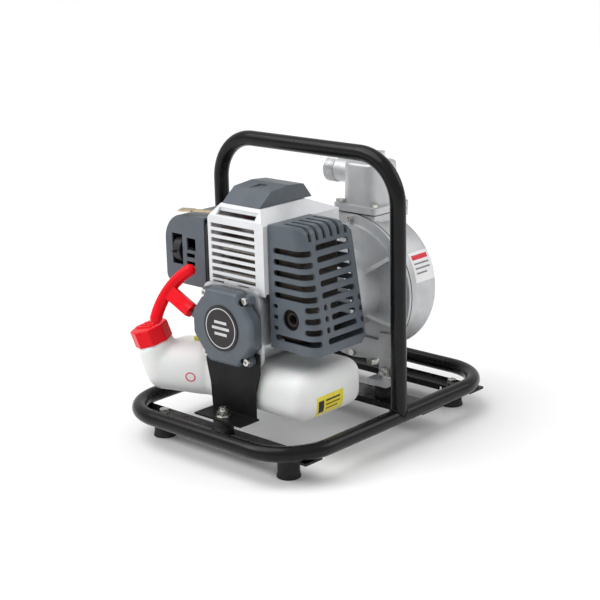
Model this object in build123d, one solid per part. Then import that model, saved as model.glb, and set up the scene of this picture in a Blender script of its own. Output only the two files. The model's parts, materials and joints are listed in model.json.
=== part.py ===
from build123d import *

import math
import os

# Portable fire pump: a 43 cc two-stroke petrol engine drives a self-priming
# water pump, both hung on rubber mounts in a bent-tube carrying frame.
#
# Frame: +Z up, z = 0 under the rubber feet.  +Y runs along the crankshaft from
# the recoil starter (front) to the pump (rear), +X points to the muffler side.
# The origin is the centre of the base loop, on the ground.  Millimetres.

os.makedirs("parts", exist_ok=True)

# ------------------------------------------------------------------ clearances
running_gap = 0.05      # radial gap of a shaft in its bearing
seat_gap = 0.4          # radial gap of a loose part in its seat
body_gap = 0.5          # gap between pieces that move past each other

# ----------------------------------------------------------------------- frame
tube_dia = 19.0         # three-quarter inch frame tube
tube_wall = 1.6
loop_width = 287.0      # tube centre to tube centre, across
loop_length = 381.0     # tube centre to tube centre, along the shaft
loop_bend = 63.5        # bend radius of the loop on the tube's centreline
handle_rise = 310.5     # loop centreline up to the grip's centreline
handle_bend = 56.0
strip_thickness = 3.0   # cross strips welded under the loop
strip_lip = 5.0         # down-turned stiffening lip
strip_width = 28.0
pump_strip_width = 40.0
front_strip_y = -151.0
pump_strip_y = 66.0
rear_strip_y = 157.0
foot_dia = 26.0
foot_flare = 1.5
foot_height = 26.0
foot_offset_x = 104.0   # feet sit inboard of the tube
foot_bolt_dia = 6.0

# ---------------------------------------------------------------------- mounts
rubber_dia = 24.0
rubber_height = 16.5
stud_dia = 8.0          # M8 stud through each rubber
nut_flats = 13.0
nut_height = 6.5
washer_dia = 18.0
washer_thickness = 1.6
pump_mount_x = 67.0
lug_thickness = 8.0
sheet_thickness = 2.5   # engine bracket

# ---------------------------------------------------------------------- engine
shaft_z = 156.0         # crankshaft height above the ground
cylinder_y = -75.0      # cylinder axis along the shaft
bore_dia = 40.0
stroke = 34.0
rod_length = 62.0
rod_thickness = 10.0
pin_dia = 12.0
wrist_dia = 10.0
web_dia = 56.0
web_thickness = 9.0
journal_dia = 15.0
bearing_dia = 35.0
bearing_width = 11.0
piston_height = 36.0
crown_height = 20.0     # wrist pin to piston crown
crankcase_width = 84.0
crankcase_height = 84.0
crankcase_corner = 20.0
crankcase_front = -130.5
crankcase_rear = -34.0
flange_thickness = 4.5
flange_size = 94.0
cylinder_foot_z = 194.0
fin_size = 78.0
fin_thickness = 2.0
fin_pitch = 7.0
fin_count = 9
head_z = 266.0
plug_hex = 16.0
screw_dia = 5.0         # M5 socket screws of the engine
screw_head_dia = 8.5
screw_head_height = 5.0

# --------------------------------------------------------------------- cooling
shroud_width = 90.0
shroud_front = -121.0
shroud_rear = 10.0
shroud_bottom = 194.5
shroud_top = 294.0
shroud_slope = 17.0     # height lost on the sloping sides of the roof
shroud_wall = 2.4
louvre_count = 8
louvre_pitch = 8.8
louvre_height = 5.0
louvre_top_z = 269.0
switch_y = -20.0        # stop switch on the left wall
switch_z = 250.0
switch_width = 13.0
switch_height = 18.0
cap_width = 60.0
cap_length = 89.0
cap_front = -110.0
cap_base_z = 294.5
cap_top_z = 314.0
cap_wall = 2.4
fan_dia = 104.0
fan_front = -29.0
fan_disc = 6.0
blade_height = 18.0
blade_count = 20
fan_housing_dia = 116.0
fan_housing_wall = 3.0

# --------------------------------------------------------------------- starter
starter_width = 98.0
starter_height = 89.0
starter_depth = 15.5
starter_wall = 2.6
starter_screw_x = 33.0
starter_screw_z = 36.5
badge_dia = 55.0
badge_thickness = 1.2
pulley_rope_radius = 16.0
pulley_flange_radius = 26.0
pulley_flange = 1.4
cup_depth = 4.0         # starter cup on the crankshaft, in front of the bracket
cup_dia = 38.0
hub_post_dia = 7.0      # post that the pulley turns on
rope_dia = 3.5
rope_angle = 25.0       # rope rises this much above -X
rope_exit = 50.0        # tangent point to the rope outlet
stem_length = 43.0
grip_length = 86.0
grip_radius = 7.5
rope_start = 13.0       # where the rope's straight run clears the pulley
screw_boss = 6.0        # depth of the starter's screw bosses
screw_bite = 8.0        # screw length in the crankcase
badge_depth = 2.7
grip_roll = 28.0        # the grip hangs turned about its rope
pull_travel = 500.0

# --------------------------------------------------------------------- exhaust
guard_front = -114.5
guard_length = 93.0
guard_bottom_z = 134.0
guard_top_z = 279.0
guard_inner_x = 46.5
guard_top_x = 95.0
guard_bottom_x = 118.0
guard_wall = 2.4
guard_corner = 13.0
slot_height = 7.0
slot_pitch = 13.6
slot_flat = 0.3         # flat left at a slot's round end
slot_margin = 7.5       # guard's inner edge to the front slots
front_slot_z = 250.5
front_slot_pitch = 13.0
side_slot_z = 255.0
low_slot_z = 187.0
bottom_slot_z = 148.0
wrap_depth = 15.0       # how far the front slots wrap round the corner
rear_slot_count = 8
rear_slot_pitch = 12.2
rear_slot_height = 5.5
roof_slot_pitch = 12.2
guard_rear_bevel = 7.0
guard_low_cut = 15.0     # lower rear corner cut off this far
guard_high_cut = 22.0    # upper rear corner
guard_sill = 6.0        # upright strip at the guard's lower edge
guard_roof_edge = 12.0
outlet_dia = 25.0
outlet_x = 79.0
outlet_z = 172.0
muffler_gap = 5.0       # air space between the muffler and its guard

# ---------------------------------------------------------------------- intake
insulator_length = 8.0
carb_length = 20.0
carb_y = -70.0
carb_z = 226.0
filter_inner_x = -72.0
filter_outer_x = -141.0
filter_front = -102.0
filter_length = 66.0
filter_bottom_z = 181.0
filter_top_z = 268.0
filter_wall = 2.4
filter_crown = 34.0     # rounding of the cover's upper outer edge
filter_corner = 10.0
filter_base_thickness = 5.0

# ------------------------------------------------------------------------ fuel
tank_left_x = -122.0
tank_right_x = 105.0
tank_front = -127.0
tank_rear = -14.0
tank_bottom_z = 50.0
tank_top_z = 109.0
tank_corner = 20.0
tank_wall = 2.2
neck_x = -130.0         # centre of the filler neck's mouth
neck_y = -142.7
neck_z = 123.5
neck_dia = 38.0
neck_tilt = 18.0        # the neck leans outwards and forwards
cap_dia = 48.0
cap_height = 21.0
cap_facets = 8
cap_skirt = 10.0        # cap's overlap down the neck
lobe_dia = 48.0         # filler lobe of the tank below the cap
lobe_depth = 54.0
tank_clearance = 4.0
shoulder_left_x = -136.0
shoulder_right_x = -60.0
shoulder_front = -134.0
shoulder_rear = -76.0
shoulder_top_z = 112.0
thread_pitch = 4.0

# ------------------------------------------------------------ clutch and pump
clutch_drum_dia = 78.0
drum_wall = 2.5
drum_depth = 20.0
shoe_travel = 0.9
hub_dia = 101.0
hub_wall = 6.0
hub_front = 14.0
cover_dia = 163.0
cover_front = 80.0
cover_rear = 88.0
rim_thickness = 4.0
casing_front_dia = 187.0
casing_rear_dia = 176.0
casing_rear = 150.0
casing_wall = 5.0
casing_flange = 7.0
gusset_angle = 36.0
gusset_thickness = 5.0
impeller_dia = 84.0
impeller_width = 14.0
pump_shaft_dia = 15.0
neck_size = 66.0
flange_side = 71.0
flange_plate = 8.5
port_gasket = 1.5
port_y = 124.0
port_z = 249.5
column_base = 60.0
column_top_z = 312.0
passage_dia = 25.0
thread_dia = 33.2       # G1 pipe thread, outside
nipple_pipe_dia = 30.0
nipple_length = 38.0
nipple_thread_length = 18.0
nipple_z = 295.0
suction_z = 190.0
suction_nipple_length = 38.0
port_bolt_dia = 6.0
port_bolt_offset = 28.0
cover_bolt_dia = 5.0    # bolts through the cover's rim into the casing
cover_bolt_inset = 6.0
cover_bolt_bite = 12.0

# --------------------------------------------------------------- worked places
tube_radius = tube_dia / 2
strip_top_z = foot_height + strip_thickness
loop_z = strip_top_z + tube_radius
handle_z = loop_z + handle_rise
mount_top_z = strip_top_z + rubber_height
starter_back = crankcase_front - sheet_thickness
starter_front = starter_back - starter_depth
throw = stroke / 2
wrist_z = shaft_z - throw + rod_length
web_gap = rod_thickness + 2 * 0.7
port_top_z = port_z + port_gasket + flange_plate
clutch_front = fan_front + fan_disc + blade_height + 3.0
shoe_depth = 12.0
shoe_radius = clutch_drum_dia / 2 - drum_wall - shoe_travel - body_gap
casing_front = cover_rear + port_gasket
impeller_front = casing_front + 3.0
impeller_rear = impeller_front + impeller_width
seal_dia = 28.0
seal_front = cover_rear - 16.0
port_boss = 56.0
suction_face = casing_rear + 6.0
flap_thickness = 3.0
flap_chamber_dia = passage_dia + 6.0
drain_bottom = shaft_z - casing_front_dia / 2 - 10.0
drain_thread = 12.0
filler_thread = 12.0
filler_x = 8.0
filler_y = 130.0
groove_half = rope_dia / 2 + 0.55
cup_front = starter_back - cup_depth
pulley_rear = cup_front - body_gap
pulley_front = pulley_rear - 2 * groove_half - 2 * pulley_flange
rope_y = (pulley_front + pulley_rear) / 2
primer_x = -fin_size / 2 - insulator_length - carb_length / 2
throttle_y = carb_y - 11.0
lever_shaft_dia = 5.0
fuel_nipple_y = carb_y - 12.5
fuel_outlet_x = -92.0
fuel_outlet_y = -98.0
fuel_hose_dia = 5.0
choke_x = -120.0
choke_y = filter_front + 14.0
choke_z = 222.0
choke_pin_dia = 4.0
primer_dia = 16.0


# -------------------------------------------------------------------- helpers
def disc_y(radius, y_front, y_rear, x=0.0, z=None):
    """A cylinder along Y between two stations."""
    height = shaft_z if z is None else z
    middle = (y_front + y_rear) / 2
    return Pos(x, middle, height) * Rot(90, 0, 0) * Cylinder(radius, y_rear - y_front)


def disc_x(radius, x_low, x_high, y, z):
    """A cylinder along X between two stations."""
    return Pos((x_low + x_high) / 2, y, z) * Rot(0, 90, 0) * Cylinder(radius, x_high - x_low)


def disc_z(radius, z_low, z_high, x, y):
    """A cylinder along Z between two stations."""
    return Pos(x, y, (z_low + z_high) / 2) * Cylinder(radius, z_high - z_low)


def block(x_low, x_high, y_low, y_high, z_low, z_high):
    """A box given by its six faces."""
    centre = Pos((x_low + x_high) / 2, (y_low + y_high) / 2, (z_low + z_high) / 2)
    return centre * Box(x_high - x_low, y_high - y_low, z_high - z_low)


def slab_y(sketch, y_front, y_rear):
    """Extrudes an XZ sketch from one station to another along Y."""
    plane = Plane(origin=(0, y_rear, 0), x_dir=(1, 0, 0), z_dir=(0, -1, 0))
    return extrude(plane * sketch, amount=y_rear - y_front)


def hexagon(flats, height):
    """A hexagon nut or head standing on z = 0."""
    return extrude(RegularPolygon(flats / 2, 6, major_radius=False), amount=height)


def save(shapes, node):
    """Writes one node, as one solid or as a group of separate solids."""
    solids = shapes if isinstance(shapes, list) else [shapes]
    loose = []
    for shape in solids:
        loose.extend(shape.solids())
    body = loose[0] if len(loose) == 1 else Compound(children=loose)
    body.label = node
    export_step(body, f"parts/{node}.step")
    return body


# ======================================================================= frame
def base_loop():
    path = Pos(0, 0, loop_z) * RectangleRounded(loop_width, loop_length, loop_bend)
    wire = path.wire()
    start = Plane(origin=wire @ 0, z_dir=wire % 0)
    outer = sweep(start * Circle(tube_radius), path=wire)
    inner = sweep(start * Circle(tube_radius - tube_wall), path=wire)
    return outer - inner


def handle_path():
    half = loop_width / 2
    return FilletPolyline(
        (-half, 0, loop_z), (-half, 0, handle_z), (half, 0, handle_z), (half, 0, loop_z),
        radius=handle_bend,
    )


def carry_handle():
    path = handle_path()
    start = Plane(origin=path @ 0, z_dir=path % 0)
    outer = sweep(start * Circle(tube_radius), path=path)
    inner = sweep(start * Circle(tube_radius - tube_wall), path=path)
    for side in (-1, 1):
        cope = disc_y(tube_radius, -20, 20, side * loop_width / 2, loop_z)
        outer -= cope
        inner -= cope
    return outer - inner


def cross_strip(y, width, holes):
    half = loop_width / 2
    strip = block(-half, half, y - width / 2, y + width / 2, foot_height, strip_top_z)
    for side in (-1, 1):
        edge = y + side * (width / 2 - strip_thickness / 2)
        strip += block(-half + 50, half - 50, edge - strip_thickness / 2, edge + strip_thickness / 2,
                       foot_height - strip_lip, foot_height)
    for x, hole_y, diameter in holes:
        strip -= disc_z(diameter / 2 + seat_gap / 2, 0, loop_z, x, hole_y)
    return strip


def foot_places():
    return [(side * foot_offset_x, y) for side in (-1, 1) for y in (front_strip_y, rear_strip_y)]


def rubber_feet():
    feet = []
    for x, y in foot_places():
        lower = Pos(x, y, foot_height / 8) * Cone(foot_dia / 2 + foot_flare, foot_dia / 2, foot_height / 4)
        foot = lower + disc_z(foot_dia / 2, foot_height / 4, foot_height, x, y)
        foot -= disc_z(foot_bolt_dia / 2, foot_height / 4, foot_height, x, y)
        feet.append(foot)
    return feet


def foot_bolts():
    bolts = []
    for x, y in foot_places():
        shank = disc_z(foot_bolt_dia / 2, foot_height / 4, strip_top_z, x, y)
        washer = disc_z(foot_bolt_dia, strip_top_z, strip_top_z + 1.2, x, y)
        head = Pos(x, y, strip_top_z + 1.2) * hexagon(10, 4)
        bolts.append(shank + washer + head)
    return bolts


# ================================================================ rubber mounts
def mount_places():
    return [(0.0, front_strip_y)], [(-pump_mount_x, pump_strip_y), (pump_mount_x, pump_strip_y)]


def rubber_mount(x, y):
    waist = Pos(x, y, strip_top_z + rubber_height / 2) * Cylinder(rubber_dia / 2, rubber_height)
    groove = Pos(x, y, strip_top_z + rubber_height / 2) * Torus(rubber_dia / 2 + 3, 4)
    return waist - groove - disc_z(stud_dia / 2, 0, handle_z, x, y)


def mount_stud(x, y, top_z):
    stud = disc_z(stud_dia / 2, foot_height - 8, top_z + washer_thickness + nut_height + 4, x, y)
    lower = Pos(x, y, foot_height - nut_height) * hexagon(nut_flats, nut_height)
    washer = disc_z(washer_dia / 2, top_z, top_z + washer_thickness, x, y)
    upper = Pos(x, y, top_z + washer_thickness) * hexagon(nut_flats, nut_height)
    return stud + lower + washer + upper


def front_bracket():
    bend_z = mount_top_z + sheet_thickness
    outline = Polyline(
        (-36, mount_top_z), (36, mount_top_z), (36, 78), (44, 104), (44, 128), (-44, 128), (-44, 104),
        (-38, 78), close=True,
    )
    plate = slab_y(make_face(outline), starter_back, crankcase_front)
    foot = block(-38, 39, front_strip_y - 11, crankcase_front, mount_top_z, bend_z)
    bracket = plate + foot
    bracket -= disc_z(stud_dia / 2 + seat_gap / 2, 0, shaft_z, 0, front_strip_y)
    bracket -= disc_y(pulley_flange_radius + 14, starter_back - 1, crankcase_front + 1)
    for side in (-1, 1):
        bracket -= disc_y(screw_dia / 2, starter_back - 1, crankcase_front + 1,
                          side * starter_screw_x, shaft_z - starter_screw_z)
    return bracket


# ================================================================== crankcase
def crank_space():
    """Everything that the crankshaft, its bearings and the piston need."""
    half = web_gap / 2 + web_thickness + 1
    space = disc_y(web_dia / 2 + 1.5, cylinder_y - half, cylinder_y + half)
    outer = half + bearing_width
    space += disc_y(bearing_dia / 2, cylinder_y - outer, cylinder_y + outer)
    space += disc_y(journal_dia / 2 + 1, crankcase_front - 1, crankcase_rear + 1)
    space += disc_z(bore_dia / 2 + 4, shaft_z, cylinder_foot_z + 1, 0, cylinder_y)
    return space


def crankcase_body():
    section = RectangleRounded(crankcase_width, crankcase_height, crankcase_corner)
    section = Pos(0, shaft_z) * section
    front = crankcase_front + flange_thickness
    case = slab_y(section, front, crankcase_rear)
    flange = Pos(0, shaft_z) * RectangleRounded(flange_size, flange_size, 14)
    case += slab_y(flange, crankcase_front, front)
    case += block(-34, 34, cylinder_y - 34, cylinder_y + 30, shaft_z, cylinder_foot_z)
    case -= block(-60, 60, front, crankcase_rear + 1, cylinder_foot_z, 300)
    case -= crank_space()
    for x, z in starter_screw_places():
        case -= disc_y(screw_dia / 2, crankcase_front - 1, crankcase_front + 18, x, z)
    return case


def starter_screw_places():
    return [(sx * starter_screw_x, shaft_z + sz * starter_screw_z) for sx in (-1, 1) for sz in (-1, 1)]


def crankcase_half(front):
    far = 300
    keep = block(-far, far, cylinder_y - far, cylinder_y, 0, far) if front else \
        block(-far, far, cylinder_y, cylinder_y + far, 0, far)
    return crankcase_body() & keep


def crank_bearings():
    rings = []
    half = web_gap / 2 + web_thickness + 1
    for start in (cylinder_y - half - bearing_width, cylinder_y + half):
        ring = disc_y(bearing_dia / 2, start, start + bearing_width)
        ring -= disc_y(journal_dia / 2 + running_gap, start - 1, start + bearing_width + 1)
        rings.append(ring)
    return rings


def crankshaft():
    inner = web_gap / 2
    front_web = disc_y(web_dia / 2, cylinder_y - inner - web_thickness, cylinder_y - inner)
    rear_web = disc_y(web_dia / 2, cylinder_y + inner, cylinder_y + inner + web_thickness)
    front_end = cup_front
    front = front_web + disc_y(journal_dia / 2, front_end, cylinder_y - inner)
    rear = rear_web + disc_y(journal_dia / 2, cylinder_y + inner, fan_front + fan_disc + 8)
    relief = [Pos(side * 19, 0, shaft_z + 9) for side in (-1, 1)]
    for place in relief:
        front -= place * disc_y(5, cylinder_y - inner - web_thickness - 1, cylinder_y - inner + 1, z=0)
        rear -= place * disc_y(5, cylinder_y + inner - 1, cylinder_y + inner + web_thickness + 1, z=0)
    return [front, rear]


# ============================================================== piston and rod
def connecting_rod():
    big_z = shaft_z - throw
    y0 = cylinder_y - rod_thickness / 2
    y1 = cylinder_y + rod_thickness / 2
    rod = disc_y(10, y0, y1, z=big_z) + disc_y(8, y0, y1, z=wrist_z)
    rod += block(-4.5, 4.5, y0 + 2, y1 - 2, big_z, wrist_z)
    rod -= disc_y(pin_dia / 2, y0 - 1, y1 + 1, z=big_z)
    rod -= disc_y(wrist_dia / 2, y0 - 1, y1 + 1, z=wrist_z)
    return rod


def crank_pin():
    half = web_gap / 2 - 0.35
    return disc_y(pin_dia / 2, cylinder_y - half, cylinder_y + half, z=shaft_z - throw)


def wrist_pin():
    half = bore_dia / 2 - 2
    return disc_y(wrist_dia / 2, cylinder_y - half, cylinder_y + half, z=wrist_z)


def piston():
    crown_z = wrist_z + crown_height
    radius = bore_dia / 2 - running_gap
    body = disc_z(radius, crown_z - piston_height, crown_z, 0, cylinder_y)
    body -= disc_z(radius - 3.5, crown_z - piston_height - 1, crown_z - 5, 0, cylinder_y)
    bosses = disc_y(8, cylinder_y - radius + 2, cylinder_y + radius - 2, z=wrist_z)
    bosses -= block(-20, 20, cylinder_y - rod_thickness / 2 - 0.5, cylinder_y + rod_thickness / 2 + 0.5,
                    wrist_z - 20, wrist_z + 20)
    body += bosses & disc_z(radius - 1, 0, crown_z, 0, cylinder_y)
    body -= disc_y(wrist_dia / 2, cylinder_y - bore_dia, cylinder_y + bore_dia, z=wrist_z)
    for step in (4.5, 8.5):
        groove = disc_z(radius + 1, crown_z - step - 1.5, crown_z - step, 0, cylinder_y)
        groove -= disc_z(radius - 1.6, crown_z - step - 2, crown_z - step + 1, 0, cylinder_y)
        body -= groove
    return body


def piston_rings():
    rings = []
    crown_z = wrist_z + crown_height
    radius = bore_dia / 2 - running_gap
    for step in (4.5, 8.5):
        ring = disc_z(radius, crown_z - step - 1.5, crown_z - step, 0, cylinder_y)
        ring -= disc_z(radius - 1.6, crown_z - step - 2, crown_z - step + 1, 0, cylinder_y)
        rings.append(ring)
    return rings


# =================================================================== cylinder
def cylinder():
    crown_top = wrist_z + crown_height + stroke
    barrel = disc_z(bore_dia / 2 + 6, cylinder_foot_z, head_z, 0, cylinder_y)
    barrel += block(-29, 29, cylinder_y - 29, cylinder_y + 29, cylinder_foot_z, cylinder_foot_z + 5)
    for index in range(fin_count):
        z = cylinder_foot_z + 12 + index * fin_pitch
        fin = Pos(0, cylinder_y, z) * Box(fin_size, fin_size, fin_thickness)
        barrel += fillet(fin.edges().filter_by(Axis.Z), 14)
    barrel += block(-fin_size / 2, 0, carb_y - 14, carb_y + 14, carb_z - 14, carb_z + 14)
    barrel += block(0, fin_size / 2, cylinder_y - 16, cylinder_y + 16, carb_z - 14, carb_z + 14)
    barrel -= disc_z(bore_dia / 2, cylinder_foot_z - 1, crown_top + 1, 0, cylinder_y)
    barrel -= disc_x(8, -60, -bore_dia / 2 + 4, carb_y, carb_z)
    barrel -= disc_x(9, bore_dia / 2 - 4, 60, cylinder_y, carb_z)
    barrel -= disc_z(5, crown_top, head_z + 5, 0, cylinder_y)
    return barrel


def spark_plug():
    seat = head_z
    plug = disc_z(5, wrist_z + crown_height + stroke + 3, seat, 0, cylinder_y)
    plug += Pos(0, cylinder_y, seat) * hexagon(plug_hex, 9)
    plug += disc_z(5, seat + 9, seat + 22, 0, cylinder_y)
    return plug


def plug_boot():
    seat = head_z + 9
    boot = disc_z(8.5, seat + 0.5, seat + 27, 0, cylinder_y)
    boot += Pos(0, cylinder_y + 9, seat + 21) * Rot(90, 0, 0) * Cylinder(5, 18)
    boot -= disc_z(5, seat - 1, seat + 13, 0, cylinder_y)
    return boot


def ignition_coil():
    z = shaft_z + fan_dia / 2 + 7
    coil = block(-16, 16, fan_front + 2, fan_front + 20, z, z + 22)
    for side in (-1, 1):
        coil += block(side * 12 - 3, side * 12 + 3, fan_front + 6, fan_front + 16, z - 4, z)
    return coil


def ignition_lead():
    boot_end = cylinder_y + 18
    lead_z = head_z + 30
    coil_top = shaft_z + fan_dia / 2 + 29
    coil_y = fan_front + 11
    path = FilletPolyline(
        (0, boot_end, lead_z), (0, boot_end + 14, lead_z), (0, coil_y, lead_z - 22), (0, coil_y, coil_top),
        radius=8,
    )
    start = Plane(origin=path @ 0, z_dir=path % 0)
    return sweep(start * Circle(3.2), path=path)


# ============================================================ cooling and covers
def shroud_profile(inset):
    half = shroud_width / 2 - inset
    flat = cap_width / 2 + 2 - inset / 2
    top = shroud_top - inset
    side = shroud_top - shroud_slope - inset
    return make_face(Polyline(
        (-half, shroud_bottom), (half, shroud_bottom), (half, side), (flat, top), (-flat, top), (-half, side),
        close=True,
    ))


def louvre_places():
    return [louvre_top_z - index * louvre_pitch for index in range(louvre_count)]


def cylinder_shroud():
    depth = 11.0
    drop = 15.0
    outer = slab_y(shroud_profile(0), shroud_front, shroud_rear)
    nose = make_face(Polyline((shroud_front - 1, shroud_top - drop), (shroud_front + depth, shroud_top + 1),
                              (shroud_front - 1, shroud_top + 1), close=True))
    tail = make_face(Polyline((-34, shroud_top), (shroud_rear + 1, shroud_top - 17),
                              (shroud_rear + 1, shroud_top + 1), (-34, shroud_top + 1), close=True))
    side_plane = Plane(origin=(-60, 0, 0), x_dir=(0, 1, 0), z_dir=(1, 0, 0))
    outer -= extrude(side_plane * nose, amount=120)
    outer -= extrude(side_plane * tail, amount=120)
    inner = slab_y(shroud_profile(shroud_wall), shroud_front + shroud_wall, shroud_rear - shroud_wall)
    inner -= Pos(0, shroud_wall, -shroud_wall) * extrude(side_plane * nose, amount=120)
    inner -= Pos(0, -shroud_wall, -shroud_wall) * extrude(side_plane * tail, amount=120)
    shroud = outer - inner
    shroud -= block(-60, 60, shroud_front + shroud_wall, shroud_rear - shroud_wall, 0, shroud_bottom + shroud_wall)
    for z in louvre_places():
        shroud -= block(-40, 31, shroud_front - 1, shroud_front + 6, z - louvre_height / 2, z + louvre_height / 2)
    for x in (-30, 11):
        shroud -= block(x - 9, x + 9, shroud_front - 1, shroud_front + 6, 199, 202.5)
    shroud -= block(-31, 31, shroud_front - 5, shroud_front + 8, shroud_top - 12.5, shroud_top - 4)
    shroud -= block(-20, 20, cylinder_y - 24, fan_front + 4, shroud_top - 10, shroud_top + 1)
    shroud -= block(shroud_width / 2 - 4, 60, cylinder_y - 27, cylinder_y + 27, 0, carb_z + 22)
    shroud -= block(-60, 4 - shroud_width / 2, carb_y - 24, carb_y + 24, 0, carb_z + 24)
    shroud -= disc_y(fan_housing_dia / 2, crankcase_rear - 1, shroud_rear + 1)
    switch_gap = switch_width / 2 + body_gap
    shroud -= disc_y(switch_height / 2 + body_gap, switch_y - switch_gap, switch_y + switch_gap,
                     2 - shroud_width / 2, switch_z)
    return shroud


def stop_switch():
    """Rocker let into the left wall of the shroud."""
    wall = -shroud_width / 2
    rocker = disc_y(switch_height / 2, switch_y - switch_width / 2, switch_y + switch_width / 2, wall + 2, switch_z)
    return rocker & block(wall - 4, 0, -200, 200, 0, 400)


def cap_profile(inset):
    front = cap_front + inset
    rear = cap_front + cap_length - inset
    top = cap_top_z - inset
    low = cap_base_z - inset
    return make_face(Polyline((front, low), (rear, low), (rear - 14, top - 2), (front + 50, top),
                              (front + 20, top - 3), close=True))


def top_cap():
    half = cap_width / 2
    side_plane = Plane(origin=(-half, 0, 0), x_dir=(0, 1, 0), z_dir=(1, 0, 0))
    cap = extrude(side_plane * cap_profile(0), amount=cap_width)
    top_edges = cap.edges().filter_by(Axis.X).sort_by(Axis.Z)[-3:]
    cap = fillet(top_edges, 3)
    hollow = Plane(origin=(-half + cap_wall, 0, 0), x_dir=(0, 1, 0), z_dir=(1, 0, 0))
    cap -= extrude(hollow * cap_profile(cap_wall), amount=cap_width - 2 * cap_wall)
    cap -= block(-7, 7, cap_front - 1, cap_front + 40, cap_top_z - 3, cap_top_z + 1)
    return cap


def flywheel_fan():
    disc = disc_y(fan_dia / 2, fan_front, fan_front + fan_disc)
    disc += disc_y(13, fan_front, clutch_front + shoe_depth)
    for index in range(blade_count):
        blade = Box(15, blade_height, 2)
        turn = Rot(0, index * 360 / blade_count, 0)
        place = Pos(fan_dia / 2 - 8.5, fan_front + fan_disc + blade_height / 2, 0)
        disc += Pos(0, 0, shaft_z) * turn * place * Rot(0, 28, 0) * blade
    disc -= disc_y(journal_dia / 2, fan_front - 1, clutch_front + shoe_depth + 1)
    return disc


def fan_housing():
    outer = fan_housing_dia / 2
    front = crankcase_rear
    ring = disc_y(outer, front, hub_front)
    ring -= disc_y(outer - fan_housing_wall, front + fan_housing_wall, hub_front + 1)
    ring -= disc_y(20, front - 1, front + 5)
    for x in (-1, 1):
        ring -= disc_y(9, front - 1, front + 5, x * 34, shaft_z)
    ring -= block(-36, 36, front + fan_housing_wall, -4, shaft_z + 30, shaft_z + outer + 1)
    return ring


# ====================================================================== clutch
def clutch_half(side):
    ring = disc_y(shoe_radius, clutch_front, clutch_front + shoe_depth)
    ring -= disc_y(18, clutch_front - 1, clutch_front + shoe_depth + 1)
    far = 60
    keep = block(2.5, far, -far, far, shaft_z - far, shaft_z + far) if side > 0 else \
        block(-far, -2.5, -far, far, shaft_z - far, shaft_z + far)
    groove = Pos(0, clutch_front + shoe_depth, shaft_z) * Rot(90, 0, 0) * Torus(27, 3)
    return (ring & keep) - groove


def clutch_drum():
    front = clutch_front - 1
    back = front + drum_depth
    drum = disc_y(clutch_drum_dia / 2, front, back)
    drum -= disc_y(clutch_drum_dia / 2 - drum_wall, front - 1, back - drum_wall)
    drum += disc_y(pump_shaft_dia / 2, back - drum_wall, impeller_rear)
    drum += disc_y(12, back, back + 4)
    return drum


def pump_bearings():
    rings = []
    for start in pump_bearing_places():
        ring = disc_y(bearing_dia / 2, start, start + bearing_width)
        ring -= disc_y(pump_shaft_dia / 2 + running_gap, start - 1, start + bearing_width + 1)
        rings.append(ring)
    return rings


def pump_bearing_places():
    return [hub_front + 12, hub_front + 40]


# ============================================================ pump-end castings
def adapter_housing():
    """Bell between fan housing and pump, with the pump's cover, gussets and feet."""
    hub = disc_y(hub_dia / 2, hub_front, cover_front)
    flange = disc_y(fan_housing_dia / 2, hub_front, hub_front + 5)
    cover = disc_y(cover_dia / 2, cover_front, cover_rear)
    body = hub + flange + cover
    body += disc_y(casing_front_dia / 2, cover_rear - rim_thickness, cover_rear)
    for side in (-1, 1):
        for tilt in (gusset_angle, -gusset_angle + 6):
            body += gusset(side, tilt)
        foot = block(pump_mount_x - 15, pump_mount_x + 15, pump_strip_y - 15, cover_rear, mount_top_z,
                     mount_top_z + lug_thickness)
        leg = block(pump_mount_x - 17, pump_mount_x + 15, cover_front - 4, cover_rear, mount_top_z, shaft_z - 50)
        pair = foot + leg
        body += pair if side > 0 else mirror(pair, Plane.YZ)
    body += block(-pump_mount_x, pump_mount_x, cover_front - 4, cover_rear, mount_top_z + 29, shaft_z - 60)
    for side in (-1, 1):
        body -= disc_z(stud_dia / 2 + seat_gap / 2, 0, shaft_z - 60, side * pump_mount_x, pump_strip_y)
    first, second = pump_bearing_places()
    hollow = disc_y(hub_dia / 2 - hub_wall, hub_front - 1, cover_front - 6)
    hollow -= disc_y(bearing_dia / 2 + 5, hub_front + 10, cover_front)
    web = disc_y(hub_dia / 2, second + bearing_width, second + bearing_width + 5)
    body -= hollow - web
    body -= disc_y(bearing_dia / 2, first, second + bearing_width)
    body -= disc_y(bearing_dia / 2 - 3, hub_front, first)
    body -= disc_y(pump_shaft_dia / 2 + 1.5, hub_front, cover_rear + 1)
    body -= disc_y(seal_dia / 2, seal_front, cover_rear + 1)
    for x, z in cover_bolt_places():
        body -= disc_y(cover_bolt_dia / 2, cover_front, cover_rear + 1, x, z)
    return body


def gusset(side, tilt):
    """Radial plate from the bell out to the rim of the cover."""
    near = hub_dia / 2 - 3
    far = cover_dia / 2 - 2
    face = make_face(Polyline((near, cover_front), (far, cover_front), (near, cover_front - 22), close=True))
    plate = extrude(face, amount=gusset_thickness / 2, both=True)
    turn = Rot(0, -tilt, 0) if side > 0 else Rot(0, 180 + tilt, 0)
    return Pos(0, 0, shaft_z) * turn * plate


def shaft_seal():
    seal = disc_y(seal_dia / 2, seal_front, cover_rear)
    seal -= disc_y(pump_shaft_dia / 2 + running_gap, seal_front - 1, cover_rear + 1)
    return seal


def cover_bolt_places():
    count = 6
    radius = casing_front_dia / 2 - cover_bolt_inset
    places = []
    for index in range(count):
        angle = math.radians(30 + index * 360 / count)
        places.append((radius * math.cos(angle), shaft_z + radius * math.sin(angle)))
    return places


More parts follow.
